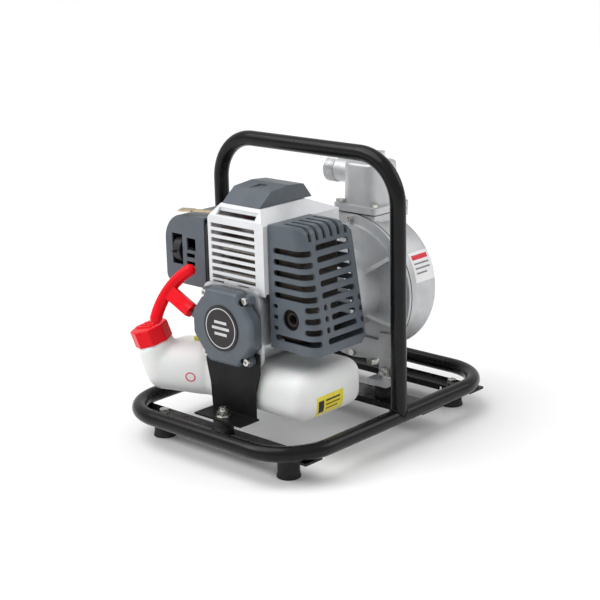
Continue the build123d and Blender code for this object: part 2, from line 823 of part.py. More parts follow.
def casing_gasket():
    ring = disc_y(casing_front_dia / 2, cover_rear, cover_rear + port_gasket)
    ring -= disc_y(casing_front_dia / 2 - 12, cover_rear - 1, cover_rear + port_gasket + 1)
    for x, z in cover_bolt_places():
        ring -= disc_y(cover_bolt_dia / 2, cover_rear - 1, cover_rear + port_gasket + 1, x, z)
    return ring


def drum_solid(inset, front, rear):
    """The tapered drum of the pump casing, thinner by the inset."""
    middle = (front + rear) / 2
    cone = Cone(casing_front_dia / 2 - 2 - inset, casing_rear_dia / 2 - inset, rear - front)
    return Pos(0, middle, shaft_z) * Rot(-90, 0, 0) * cone


def pump_casing():
    front = casing_front
    drum = drum_solid(0, front, casing_rear)
    drum = fillet(drum.edges().sort_by(Axis.Y)[-1], 12)
    casing = drum + disc_y(casing_front_dia / 2, front, front + casing_flange)
    neck_low = shaft_z + 55
    casing += block(-neck_size / 2, neck_size / 2, port_y - neck_size / 2, casing_rear - 4, neck_low, port_z)
    casing += block(-neck_size / 2, neck_size / 2, port_y, port_y + neck_size / 2, port_z - 9, port_z)
    casing += disc_y(port_boss / 2, casing_rear - 10, suction_face, 0, suction_z)
    casing += disc_z(13, drain_bottom, shaft_z - 80, 0, port_y)
    hollow = drum_solid(casing_wall, front - 1, casing_rear - casing_wall)
    for x, z in cover_bolt_places():
        hollow -= disc_y(cover_bolt_dia / 2 + 3.5, front - 1, front + cover_bolt_bite + 3, x, z)
    casing -= hollow
    casing -= disc_z(passage_dia / 2, shaft_z + 60, port_z + 1, 0, port_y)
    casing -= disc_y(flap_chamber_dia / 2, casing_rear - casing_wall - 1, suction_face + 1, 0, suction_z)
    casing -= disc_z(drain_thread / 2, 0, shaft_z - 80, 0, port_y)
    for x, z in cover_bolt_places():
        casing -= disc_y(cover_bolt_dia / 2, front - 1, front + cover_bolt_bite, x, z)
    for x, y in elbow_bolt_places():
        casing -= disc_z(port_bolt_dia / 2, port_z - 14, port_z + 1, x, y)
    for x, z in suction_bolt_places():
        casing -= disc_y(port_bolt_dia / 2, suction_face - 10, suction_face + 1, x, z)
    return casing


def elbow_bolt_places():
    return [(sx * port_bolt_offset, port_y + sy * port_bolt_offset) for sx in (-1, 1) for sy in (-1, 1)]


def suction_bolt_places():
    radius = port_boss / 2 - 7
    return [(sx * radius * 0.7071, suction_z + sz * radius * 0.7071) for sx in (-1, 1) for sz in (-1, 1)]


def volute():
    """Plastic insert round the impeller that sends the water to the outlet."""
    front = casing_front
    depth = impeller_rear - casing_front + 6
    ring = disc_y(impeller_dia / 2 + 9, front, front + depth)
    ring -= disc_y(impeller_dia / 2 + 2, front - 1, front + depth - 3)
    ring -= disc_y(13, front + depth - 4, front + depth + 1)
    ring += disc_y(17, front + depth, front + depth + 12) - disc_y(13, front, front + depth + 13)
    ring -= block(10, 60, front - 1, front + depth - 3, shaft_z + 12, shaft_z + 40)
    return ring


def impeller():
    back = disc_y(impeller_dia / 2, impeller_front, impeller_front + 3)
    back += disc_y(11, impeller_front, impeller_rear)
    vane_length = impeller_dia / 2 - 13
    for index in range(6):
        turn = Rot(0, index * 60, 0)
        vane = Box(vane_length, impeller_width - 3, 2.5)
        place = Pos(13 + vane_length / 2 - 2, impeller_front + 3 + (impeller_width - 3) / 2, 0)
        back += Pos(0, 0, shaft_z) * turn * place * Rot(0, 18, 0) * vane
    back = back & disc_y(impeller_dia / 2, impeller_front, impeller_rear)
    back -= disc_y(pump_shaft_dia / 2, impeller_front - 1, impeller_rear + 1)
    return back


# ================================================================ pump fittings
def elbow_gasket():
    gasket = extrude(Pos(0, port_y, port_z) * RectangleRounded(flange_side - 2, flange_side - 2, 7), port_gasket)
    gasket -= disc_z(passage_dia / 2, 0, 400, 0, port_y)
    for x, y in elbow_bolt_places():
        gasket -= disc_z(port_bolt_dia / 2, 0, 400, x, y)
    return gasket


def discharge_elbow():
    base_z = port_z + port_gasket
    plate = extrude(Pos(0, port_y, base_z) * RectangleRounded(flange_side, flange_side, 7), flange_plate)
    column = extrude(Pos(0, port_y, base_z) * RectangleRounded(column_base, column_base, 20),
                     column_top_z - base_z, taper=2)
    column = fillet(column.faces().sort_by(Axis.Z)[-1].edges(), 4)
    start = -column_base / 2 + 8
    end = -column_base / 2 - nipple_length
    elbow = plate + column + disc_x(nipple_pipe_dia / 2, end, start, port_y, nipple_z)
    elbow += disc_x(thread_dia / 2, end, end + nipple_thread_length, port_y, nipple_z)
    elbow -= disc_z(passage_dia / 2, base_z - 1, nipple_z, 0, port_y)
    elbow -= Pos(0, port_y, nipple_z) * Sphere(passage_dia / 2)
    elbow -= disc_x(passage_dia / 2, end - 1, 0, port_y, nipple_z)
    elbow -= disc_z(filler_thread / 2, nipple_z, column_top_z + 1, filler_x, filler_y)
    for x, y in elbow_bolt_places():
        elbow -= disc_z(port_bolt_dia / 2, base_z - 1, port_top_z + 1, x, y)
        elbow -= disc_z(port_bolt_dia - 0.5, port_top_z, port_top_z + 9, x, y)
    return elbow


def suction_flange():
    face = suction_face + flap_thickness
    end = face + suction_nipple_length
    plate = disc_y(port_boss / 2, face, face + 6, 0, suction_z)
    pipe = disc_y(nipple_pipe_dia / 2, face, end, 0, suction_z)
    pipe += disc_y(thread_dia / 2, end - nipple_thread_length, end, 0, suction_z)
    fitting = plate + pipe
    fitting -= disc_y(passage_dia / 2 - 2, face - 1, end + 1, 0, suction_z)
    for x, z in suction_bolt_places():
        fitting -= disc_y(port_bolt_dia / 2, face - 1, face + 7, x, z)
    return fitting


def check_valve_seal():
    """Rubber gasket of the suction port, the hinge side of the flap."""
    seal = disc_y(port_boss / 2, suction_face, suction_face + flap_thickness, 0, suction_z)
    seal -= disc_y(passage_dia / 2 + body_gap, suction_face - 1, suction_face + 5, 0, suction_z)
    for x, z in suction_bolt_places():
        seal -= disc_y(port_bolt_dia / 2, suction_face - 1, suction_face + 5, x, z)
    return seal


def check_valve_flap():
    rear = suction_face + flap_thickness - seat_gap
    flap = disc_y(passage_dia / 2 - 2 * body_gap, rear - flap_thickness, rear, 0, suction_z)
    return flap + disc_y(passage_dia / 2 - 4, rear - flap_thickness - 2, rear - flap_thickness, 0, suction_z)


def pump_bolts():
    bolts = []
    for x, z in cover_bolt_places():
        head_rear = cover_rear - rim_thickness
        bolt = disc_y(cover_bolt_dia / 2, head_rear, casing_front + cover_bolt_bite, x, z)
        head = Pos(x, head_rear, z) * Rot(90, 0, 0) * hexagon(8, 3.5)
        bolts.append(bolt + head)
    for x, y in elbow_bolt_places():
        bolt = disc_z(port_bolt_dia / 2, port_z - 13, port_top_z, x, y)
        head = Pos(x, y, port_top_z) * hexagon(10, 4.5)
        bolts.append(bolt + head)
    face = suction_face + flap_thickness + 6
    for x, z in suction_bolt_places():
        bolt = disc_y(port_bolt_dia / 2, suction_face - 9, face, x, z)
        head = Pos(x, face, z) * Rot(-90, 0, 0) * hexagon(10, 4.5)
        bolts.append(bolt + head)
    return bolts


def screw_plug(thread_radius, thread_depth, head_flats, head_height, seal_thickness):
    """A plug standing on z = 0 with its thread below, and its sealing ring."""
    head_z = seal_thickness + 2 * seat_gap
    plug = Pos(0, 0, head_z) * hexagon(head_flats, head_height)
    plug += Pos(0, 0, (head_z - thread_depth) / 2) * Cylinder(thread_radius, thread_depth + head_z)
    ring = Pos(0, 0, seat_gap + seal_thickness / 2) * Cylinder(head_flats / 2, seal_thickness)
    ring -= Cylinder(thread_radius + seat_gap, 10)
    return plug, ring


def filler_parts():
    place = Pos(filler_x, filler_y, column_top_z)
    plug, ring = screw_plug(filler_thread / 2 - seat_gap, 12, 16, 9, 2)
    return place * plug, place * ring


def drain_parts():
    place = Pos(0, port_y, drain_bottom) * Rot(180, 0, 0)
    plug, ring = screw_plug(drain_thread / 2 - seat_gap, 10, 14, 7, 2)
    return place * plug, place * ring


# ===================================================================== starter
def rope_direction():
    angle = math.radians(rope_angle)
    return Vector(-math.cos(angle), 0, math.sin(angle))


def rope_tangent():
    angle = math.radians(rope_angle)
    return Vector(-pulley_rope_radius * math.sin(angle), rope_y, shaft_z - pulley_rope_radius * math.cos(angle))


def rope_frame(distance):
    """Frame on the rope: Z along the pull, X along the grip."""
    angle = math.radians(rope_angle)
    roll = math.radians(grip_roll)
    grip = Vector(math.sin(angle) * math.cos(roll), math.sin(roll), math.cos(angle) * math.cos(roll))
    origin = rope_tangent() + rope_direction() * distance
    return Plane(origin=origin, x_dir=grip, z_dir=rope_direction())


def starter_outline(inset):
    half = starter_width / 2 - inset
    tall = starter_height / 2 - inset
    corners = [(half, 14), (24, tall), (-24, tall), (-half, 14), (-half, -14), (-24, -tall), (24, -tall), (half, -14)]
    face = make_face(Polyline(*corners, close=True))
    return Pos(0, shaft_z) * fillet(face.vertices(), 9)


def starter_housing():
    body = slab_y(starter_outline(0), starter_front, starter_back)
    body = fillet(body.edges().group_by(Axis.Y)[0], 5)
    body -= slab_y(starter_outline(starter_wall), starter_front + starter_wall, starter_back + 1)
    boss = rope_frame(rope_exit - 9) * Pos(0, 0, 4.5) * Cylinder(4.6, 9)
    body += boss & block(-200, 0, starter_front + 1, starter_back, 0, 300)
    for x, z in starter_screw_places():
        rear = crankcase_front if z > shaft_z else starter_back
        body += disc_y(6.5, starter_back - screw_boss, rear, x, z)
        body -= disc_y(screw_dia / 2, starter_back - screw_boss - 1, crankcase_front + 1, x, z)
        body -= disc_y(5.5, starter_front - 1, starter_back - screw_boss, x, z)
    body -= disc_y(badge_dia / 2, starter_front - 1, starter_front + badge_thickness)
    body += disc_y(hub_post_dia / 2 + 2, starter_front + starter_wall - 1, pulley_front - body_gap)
    body += disc_y(hub_post_dia / 2, pulley_front - body_gap, pulley_rear)
    body -= rope_frame(rope_exit - 14) * Pos(0, 0, 14) * Cylinder(rope_dia / 2 + body_gap, 28)
    return body


def starter_badge():
    rear = starter_front + badge_thickness
    return disc_y(badge_dia / 2, rear - badge_depth, rear)


def starter_screws():
    screws = []
    head_front = starter_back - screw_boss - screw_head_height
    for x, z in starter_screw_places():
        screw = disc_y(screw_head_dia / 2, head_front, head_front + screw_head_height, x, z)
        screw += disc_y(screw_dia / 2, head_front + screw_head_height, crankcase_front + screw_bite, x, z)
        screw -= Pos(x, head_front - 1, z) * Rot(-90, 0, 0) * hexagon(4, 3.5)
        screws.append(screw)
    return screws


def starter_pulley():
    """Pulley with the rope wound on it, as two solids."""
    pulley = disc_y(pulley_flange_radius, pulley_front, pulley_rear)
    groove = disc_y(pulley_flange_radius + 1, rope_y - groove_half, rope_y + groove_half)
    core = pulley_rope_radius - rope_dia / 2
    groove -= disc_y(core, pulley_front, pulley_rear)
    pulley -= groove
    pulley -= disc_y(hub_post_dia / 2 + running_gap, pulley_front - 1, pulley_rear + 1)
    wound = disc_y(pulley_rope_radius - body_gap, rope_y - rope_dia / 2, rope_y + rope_dia / 2)
    wound -= disc_y(core, pulley_front, pulley_rear)
    return [pulley, wound]


def starter_cup():
    rear = crankcase_front - 1
    cup = disc_y(cup_dia / 2, cup_front, rear)
    cup -= disc_y(cup_dia / 2 - 2.5, cup_front - 1, cup_front + 2.5)
    for index in range(3):
        turn = Pos(0, 0, shaft_z) * Rot(0, index * 120, 0)
        cup += turn * Pos(cup_dia / 2 - 4.5, cup_front + 1.5, 0) * Box(5, 3, 4)
    cup -= disc_y(journal_dia / 2, cup_front - 1, crankcase_front)
    return cup


def starter_handle():
    """Pull handle and the straight run of its rope, as two solids."""
    start = rope_exit + 5
    rope_length = start + 10 - rope_start
    rope = rope_frame(rope_start) * Pos(0, 0, rope_length / 2) * Cylinder(rope_dia / 2, rope_length)
    collar = Pos(0, 0, 4) * Cylinder(8, 8)
    stem = Pos(0, 0, stem_length / 2) * Box(17, 10, stem_length - 2)
    half = grip_length / 2 - grip_radius
    bow = ThreePointArc((-half, 0, stem_length - 7), (0, 0, stem_length + 1), (half, 0, stem_length - 7))
    bar = sweep(Plane(origin=bow @ 0, z_dir=bow % 0) * Circle(grip_radius), path=bow)
    for end in (bow @ 0, bow @ 1):
        bar += Pos(end) * Sphere(grip_radius)
    handle = collar + stem + bar
    handle -= Pos(0, 0, 4) * Cylinder(rope_dia / 2, 8)
    return [rope_frame(start) * handle, rope]


# ===================================================================== exhaust
def guard_outline(inset):
    """The guard seen from the front: sloping side, rounded roof edge."""
    low = guard_bottom_z + inset
    top = guard_top_z - inset
    slope = (guard_bottom_x - guard_top_x) / (guard_top_z - guard_bottom_z)
    face = make_face(Polyline(
        (guard_inner_x, low), (guard_bottom_x - inset, low), (guard_bottom_x - inset, guard_bottom_z + guard_sill),
        (guard_top_x - inset + slope, top - 1), (guard_top_x - inset - guard_roof_edge, top), (guard_inner_x, top),
        close=True,
    ))
    return fillet(face.vertices().sort_by(Axis.Y)[-3:].sort_by(Axis.X)[-1], guard_roof_edge - inset)


def guard_plan(inset, z):
    """The guard seen from above at one height: rounded front corner, bevelled rear corner."""
    slope = (guard_bottom_x - guard_top_x) / (guard_top_z - guard_bottom_z - guard_sill)
    outer = guard_bottom_x - inset - slope * (z - guard_bottom_z - guard_sill)
    front = guard_front + inset
    rear = guard_front + guard_length - inset
    bevel = guard_rear_bevel - inset / 2
    face = make_face(Polyline((guard_inner_x, front), (outer, front), (outer, rear - bevel), (outer - bevel, rear),
                              (guard_inner_x, rear), close=True))
    corner = face.vertices().sort_by(Axis.Y)[:2].sort_by(Axis.X)[-1]
    return Pos(0, 0, z) * fillet(corner, guard_corner - inset)


def rounded_slot(x_low, x_high, y_low, y_high, z_middle, height):
    """A bar with round ends that cuts one slot."""
    half = height / 2
    bar = block(x_low, x_high, y_low, y_high, z_middle - half, z_middle + half)
    thinnest = min(x_high - x_low, y_high - y_low, height)
    return fillet(bar.edges(), thinnest / 2 - slot_flat)


def guard_slots():
    """Slots of the front (some wrapping round the corner), the side, the rear edge and the roof."""
    cuts = []
    far = guard_bottom_x + guard_corner
    rear = guard_front + guard_length
    front = guard_front - guard_corner
    first_x = guard_inner_x + slot_margin
    for index in range(5):
        z = front_slot_z - index * front_slot_pitch
        cuts.append(rounded_slot(first_x, far, front, guard_front + wrap_depth, z, slot_height))
        z = side_slot_z - index * slot_pitch
        cuts.append(rounded_slot(guard_inner_x + 20, far, guard_front + 22, rear - 15, z, slot_height))
    cuts.append(rounded_slot(first_x, far, front, guard_front + wrap_depth - 3, bottom_slot_z, slot_height))
    cuts.append(rounded_slot(guard_top_x - 8, far, guard_front + 22, rear - 9, bottom_slot_z, slot_height))
    for index in range(3):
        z = low_slot_z - index * front_slot_pitch
        cuts.append(rounded_slot(guard_top_x + 5, far, front, guard_front + wrap_depth, z, slot_height))
        cuts.append(rounded_slot(first_x - 2, first_x + 5, front, guard_front + 5, z - 2, slot_height - 2))
        cuts.append(rounded_slot(guard_top_x - 8, far, guard_front + 33, rear - 19, z, slot_height))
        for y in (guard_front + 25, rear - 9):
            cuts.append(rounded_slot(guard_top_x - 8, far, y - 3, y + 3, z, slot_height))
    for index in range(rear_slot_count):
        z = side_slot_z - 6 - index * rear_slot_pitch
        cuts.append(rounded_slot(guard_inner_x + 20, far, rear - 4, rear + 5, z, rear_slot_height))
    for index in range(6):
        y = guard_front + 15 + index * roof_slot_pitch
        roof = block(guard_inner_x + 12, guard_top_x + 8, y - 2.5, y + 2.5, guard_top_z - 16, guard_top_z + 5)
        cuts.append(fillet(roof.edges().filter_by(Axis.Z), 2.4))
    cuts.append(disc_y(outlet_dia / 2, guard_front - 1, guard_front + 6, outlet_x, outlet_z))
    return cuts


def guard_side(inset):
    """The guard seen from the side: both rear corners cut off."""
    low = guard_bottom_z + inset
    high = guard_top_z - inset
    front = guard_front - guard_corner
    rear = guard_front + guard_length - inset
    face = make_face(Polyline(
        (front, low), (rear - guard_low_cut, low), (rear, low + guard_low_cut), (rear, high - guard_high_cut),
        (rear - guard_high_cut, high), (front, high), close=True,
    ))
    side_plane = Plane(origin=(guard_inner_x, 0, 0), x_dir=(0, 1, 0), z_dir=(1, 0, 0))
    return extrude(side_plane * face, amount=guard_bottom_x)


def guard_shell(inset):
    """The guard as a plain solid, thinner by the inset."""
    low = guard_bottom_z - guard_corner
    high = guard_top_z + guard_corner
    sides = loft([guard_plan(inset, low), guard_plan(inset, high)], ruled=True)
    outline = slab_y(guard_outline(inset), guard_front + inset, guard_front + guard_length - inset)
    return sides & outline & guard_side(inset)


def muffler_guard():
    inner = guard_shell(guard_wall) + block(
        guard_inner_x - 1, guard_inner_x + 1, guard_front + guard_wall + 4,
        guard_front + guard_length - guard_low_cut, guard_bottom_z + guard_wall, guard_top_z - guard_high_cut)
    guard = guard_shell(0) - inner
    guard -= disc_y(fan_housing_dia / 2 + body_gap, crankcase_rear - 1, guard_front + guard_length + 1)
    for cut in guard_slots():
        guard -= cut
    return guard


def muffler():
    flange_x = fin_size / 2 + port_gasket
    box_x = guard_inner_x + muffler_gap
    box_end = guard_top_x - muffler_gap - guard_wall
    can = block(box_x, box_end, guard_front + guard_wall + muffler_gap, crankcase_rear - muffler_gap,
                guard_bottom_z + guard_wall + muffler_gap, guard_top_z - 20)
    can = fillet(can.edges(), 6)
    can += disc_x(14, flange_x, box_x + 8, cylinder_y, carb_z)
    can += block(flange_x, flange_x + 4, cylinder_y - 24, cylinder_y + 24, carb_z - 12, carb_z + 12)
    can -= disc_x(9, flange_x - 1, box_x + 9, cylinder_y, carb_z)
    pipe_front = guard_front + guard_wall + 1
    can += disc_y(8, pipe_front, guard_front + 20, outlet_x, outlet_z)
    can -= disc_y(6, pipe_front - 1, guard_front + 21, outlet_x, outlet_z)
    return can


def exhaust_gasket():
    low = fin_size / 2
    gasket = block(low, low + port_gasket, cylinder_y - 24, cylinder_y + 24, carb_z - 12, carb_z + 12)
    return gasket - disc_x(9, low - 1, low + 3, cylinder_y, carb_z)


# ====================================================================== intake
def intake_insulator():
    outer = -fin_size / 2
    spacer = block(outer - insulator_length, outer, carb_y - 13, carb_y + 13, carb_z - 13, carb_z + 13)
    return spacer - disc_x(8, outer - 30, outer + 1, carb_y, carb_z)


def carburettor():
    rear = -fin_size / 2 - insulator_length
    front = rear - carb_length
    body = block(front, rear, carb_y - 16, carb_y + 16, carb_z - 18, carb_z + 18)
    body = fillet(body.edges().filter_by(Axis.X), 4)
    body += disc_x(15, front, rear, carb_y, carb_z)
    body += disc_z(carb_length / 2, carb_z - 24, carb_z - 18, primer_x, carb_y)
    body -= disc_z(primer_dia / 2 + body_gap, carb_z - 25, carb_z - 19, primer_x, carb_y)
    body += disc_z(3, carb_z - 28, carb_z - 17, primer_x, fuel_nipple_y)
    body -= disc_x(8, front - 1, rear + 1, carb_y, carb_z)
    body -= disc_z(lever_shaft_dia / 2 + running_gap, carb_z + 8, carb_z + 19, primer_x, throttle_y)
    return body


def primer_bulb():
    """Dome standing in the carburettor's recess, with room above it to be pressed."""
    rim_z = carb_z - 24
    dome = Pos(primer_x, carb_y, rim_z) * Sphere(primer_dia / 2)
    dome &= block(-200, 0, -200, 0, 0, rim_z)
    return dome + disc_z(primer_dia / 2, rim_z, rim_z + 1, primer_x, carb_y)


def throttle_lever():
    top = filter_top_z + 5
    lever = disc_z(lever_shaft_dia / 2, carb_z + 9, top, primer_x, throttle_y)
    arm_end_x = -104.0
    arm_end_y = -99.0
    path = Line((primer_x, throttle_y), (arm_end_x, arm_end_y))
    angle = math.degrees(math.atan2(arm_end_y - throttle_y, arm_end_x - primer_x))
    length = path.length
    arm = Pos((primer_x + arm_end_x) / 2, (throttle_y + arm_end_y) / 2, top + 1) * Rot(0, 0, angle) * \
        Box(length, 7, 2)
    tab = Pos(arm_end_x, arm_end_y, top + 1) * Rot(0, 0, angle) * Box(17, 14, 2)
    return lever + arm + tab + disc_z(6.5, top, top + 2, primer_x, throttle_y)


def filter_base():
    low = filter_inner_x
    plate = block(low, low + filter_base_thickness, filter_front + 1, filter_front + filter_length - 1,
                  filter_bottom_z + 1, filter_top_z - 1)
    plate = fillet(plate.edges().filter_by(Axis.X), 12)
    return plate - disc_x(9, low - 1, low + 10, carb_y, carb_z)


def filter_shell(inset):
    low = filter_bottom_z + inset
    top = filter_top_z - inset
    outer = filter_outer_x + inset
    face = make_face(Polyline((filter_inner_x, low), (outer, low), (outer, top), (filter_inner_x, top), close=True))
    corners = face.vertices().sort_by(Axis.X)[:2].sort_by(Axis.Y)
    face = fillet(corners[1], filter_crown - inset)
    face = fillet(face.vertices().sort_by(Axis.Y)[:2].sort_by(Axis.X)[0], filter_corner - inset)
    return slab_y(face, filter_front + inset, filter_front + filter_length - inset)


def filter_windows():
    front = filter_front - 1
    inner = filter_front + filter_wall + 1
    return [
        block(-129, -111, front, inner, 205, 243),
        block(-103, -88, front, inner, 225, 240),
        block(-104, -90, front, inner, 216, 221),
        block(-104, -90, front, inner, 206, 211),
    ]


def filter_cover():
    cover = filter_shell(0) - filter_shell(filter_wall)
    for window in filter_windows():
        cover -= window
    return cover + disc_x(choke_pin_dia / 2, filter_outer_x + 1, choke_x + 14, choke_y, choke_z)


def filter_element():
    pad = block(filter_inner_x - 22, filter_inner_x, filter_front + 9, filter_front + filter_length - 7,
                filter_bottom_z + 8, filter_top_z - 12)
    return fillet(pad.edges().filter_by(Axis.X), 8)


def choke_lever():
    x_low = choke_x - 6
    x_high = choke_x + 6
    rim = disc_x(17, x_low, x_high, choke_y, choke_z) - disc_x(14, x_low - 1, x_high + 1, choke_y, choke_z)
    rim = rim & block(x_low, x_high, choke_y - 40, choke_y - 3, choke_z - 40, choke_z + 40)
    web = disc_x(16, choke_x - 1.5, choke_x + 1.5, choke_y, choke_z)
    pointer = block(choke_x - 1.5, choke_x + 1.5, filter_front - 9, choke_y - 15, choke_z - 1.5, choke_z + 1.5)
    lever = rim + web + pointer
    return lever - disc_x(choke_pin_dia / 2 + running_gap, x_low - 2, x_high + 2, choke_y, choke_z)


# ======================================================================== fuel
def tank_body(inset):
    """The tank as a plain solid, thinner by the inset: body, raised shoulder and filler lobe."""
    radius = tank_corner - inset
    body = block(tank_left_x + inset, tank_right_x - inset, tank_front + inset, tank_rear - inset,
                 tank_bottom_z + inset, tank_top_z - inset)
    body = fillet(body.edges(), radius)
    body -= disc_y(fan_housing_dia / 2 + tank_clearance + inset, crankcase_rear - tank_clearance - inset, 0)
    shoulder = block(shoulder_left_x + inset, shoulder_right_x - inset, shoulder_front + inset,
                     shoulder_rear - inset, tank_bottom_z + inset, shoulder_top_z - inset)
    body += fillet(shoulder.edges(), radius)
    lobe_top = -(cap_skirt + body_gap) - inset
    lobe = Pos(0, 0, (lobe_top - lobe_depth) / 2) * Cylinder(lobe_dia / 2 - inset, lobe_top + lobe_depth)
    lobe += Pos(0, 0, -lobe_depth) * Sphere(lobe_dia / 2 - inset)
    return body + neck_frame() * lobe


def neck_frame():
    lean = math.radians(neck_tilt)
    turn = math.radians(43)
    axis = Vector(-math.sin(lean) * math.cos(turn), -math.sin(lean) * math.sin(turn), math.cos(lean))
    return Plane(origin=(neck_x, neck_y, neck_z), z_dir=axis, x_dir=(0, -1, 0))


def fuel_tank():
    neck = neck_frame() * Pos(0, 0, -cap_skirt / 2 - 1) * Cylinder(neck_dia / 2, cap_skirt + 2)
    mouth = neck_frame() * Pos(0, 0, -cap_skirt) * Cylinder(neck_dia / 2 - tank_wall - 1, 2 * cap_skirt)
    tank = tank_body(0) + neck - tank_body(tank_wall) - mouth
    tank -= disc_z(4, shoulder_top_z - 6, shoulder_top_z + 1, fuel_outlet_x, fuel_outlet_y)
    return tank


def fuel_cap_parts():
    frame = neck_frame()
    seal_thickness = 2.0
    seal = frame * Pos(0, 0, seat_gap + seal_thickness / 2) * Cylinder(neck_dia / 2, seal_thickness)
    base = -cap_skirt
    inner = neck_dia / 2 + body_gap
    top = base + cap_height
    cap = extrude(RegularPolygon(cap_dia / 2, cap_facets, major_radius=True), amount=cap_height)
    cap = Pos(0, 0, base) * fillet(cap.edges().group_by(Axis.Z)[-1], 2)
    ceiling = seal_thickness + 2 * seat_gap
    cap -= Pos(0, 0, (base + ceiling) / 2) * Cylinder(inner, ceiling - base)
    for x in (-7, 0, 7):
        cap += Pos(x, 0, top + 0.8) * Box(2.4, 26, 1.6)
    return frame * cap, seal


def fuel_grommet():
    ring = disc_z(7, shoulder_top_z, shoulder_top_z + 4, fuel_outlet_x, fuel_outlet_y)
    ring += disc_z(4, shoulder_top_z - 5, shoulder_top_z, fuel_outlet_x, fuel_outlet_y)
    return ring - disc_z(fuel_hose_dia / 2, 0, 300, fuel_outlet_x, fuel_outlet_y)


def fuel_line():
    top = carb_z - 28
    path = FilletPolyline(
        (fuel_outlet_x, fuel_outlet_y, shoulder_top_z - 4), (fuel_outlet_x, fuel_outlet_y, shoulder_top_z + 22),
        (primer_x - 14, fuel_nipple_y - 6, top - 36), (primer_x, fuel_nipple_y, top - 22),
        (primer_x, fuel_nipple_y, top),
        radius=10,
    )
    start = Plane(origin=path @ 0, z_dir=path % 0)
    return sweep(start * Circle(fuel_hose_dia / 2), path=path)


# ======================================================================= write
front_mounts, rear_mounts = mount_places()
front_feet = [(x, y, foot_bolt_dia) for x, y in foot_places() if y < 0]
rear_feet = [(x, y, foot_bolt_dia) for x, y in foot_places() if y > 0]
front_holes = front_feet + [(x, y, stud_dia) for x, y in front_mounts]
pump_holes = [(x, y, stud_dia) for x, y in rear_mounts]
save([
    cross_strip(front_strip_y, strip_width, front_holes),
    cross_strip(pump_strip_y, pump_strip_width, pump_holes),
    cross_strip(rear_strip_y, strip_width, rear_feet),
], "cross_strips")
save(base_loop(), "base_loop")
save(carry_handle(), "carry_handle")
save(rubber_feet(), "rubber_feet")
save([rubber_mount(x, y) for x, y in front_mounts + rear_mounts], "rubber_mounts")
studs = [mount_stud(x, y, mount_top_z + sheet_thickness) for x, y in front_mounts]
studs += [mount_stud(x, y, mount_top_z + lug_thickness) for x, y in rear_mounts]
save(foot_bolts() + studs, "frame_fasteners")
save(front_bracket(), "engine_bracket")

save(crankcase_half(True), "crankcase_front")
save(crankcase_half(False), "crankcase_rear")
save(crank_bearings() + pump_bearings(), "ball_bearings")
save(crankshaft(), "crankshaft")
save([connecting_rod(), crank_pin(), wrist_pin()], "connecting_rod")
save(piston(), "piston")
save(piston_rings(), "piston_rings")
save(cylinder(), "cylinder")
save(spark_plug(), "spark_plug")
save([plug_boot(), ignition_lead()], "ignition_lead")
save(ignition_coil(), "ignition_coil")
save(flywheel_fan(), "flywheel_fan")
save(fan_housing(), "fan_housing")
save(cylinder_shroud(), "cylinder_shroud")
save(top_cap(), "top_cap")
save(stop_switch(), "stop_switch")

save(starter_housing(), "starter_housing")
save(starter_badge(), "starter_badge")
save(starter_screws(), "starter_screws")
save(starter_pulley(), "starter_pulley")
save(starter_cup(), "starter_cup")
save(starter_handle(), "starter_handle")

save(muffler_guard(), "muffler_guard")
save(muffler(), "muffler")
save(intake_insulator(), "intake_insulator")
save(carburettor(), "carburettor")
save(primer_bulb(), "primer_bulb")
save(throttle_lever(), "throttle_lever")
save(filter_base(), "filter_base")
save(filter_cover(), "filter_cover")
save(filter_element(), "filter_element")
save(choke_lever(), "choke_lever")

fuel_cap, fuel_cap_seal = fuel_cap_parts()
save(fuel_tank(), "fuel_tank")
save(fuel_cap, "fuel_cap")
save(fuel_cap_seal, "fuel_cap_seal")
save([fuel_line(), fuel_grommet()], "fuel_line")

save(clutch_half(1), "clutch_shoe_right")
save(clutch_half(-1), "clutch_shoe_left")
save(clutch_drum(), "clutch_drum")
save(adapter_housing(), "adapter_housing")
save(shaft_seal(), "shaft_seal")
save([exhaust_gasket(), casing_gasket(), elbow_gasket(), check_valve_seal()], "flat_gaskets")
save(pump_casing(), "pump_casing")
save(volute(), "volute")
save(impeller(), "impeller")
save(discharge_elbow(), "discharge_elbow")
save(suction_flange(), "suction_flange")
save(check_valve_flap(), "check_valve_flap")
save(pump_bolts(), "pump_bolts")
filler_plug, filler_seal = filler_parts()
save(filler_plug, "filler_plug")
save(filler_seal, "filler_seal")
drain_plug, drain_seal = drain_parts()
save(drain_plug, "drain_plug")
save(drain_seal, "drain_seal")
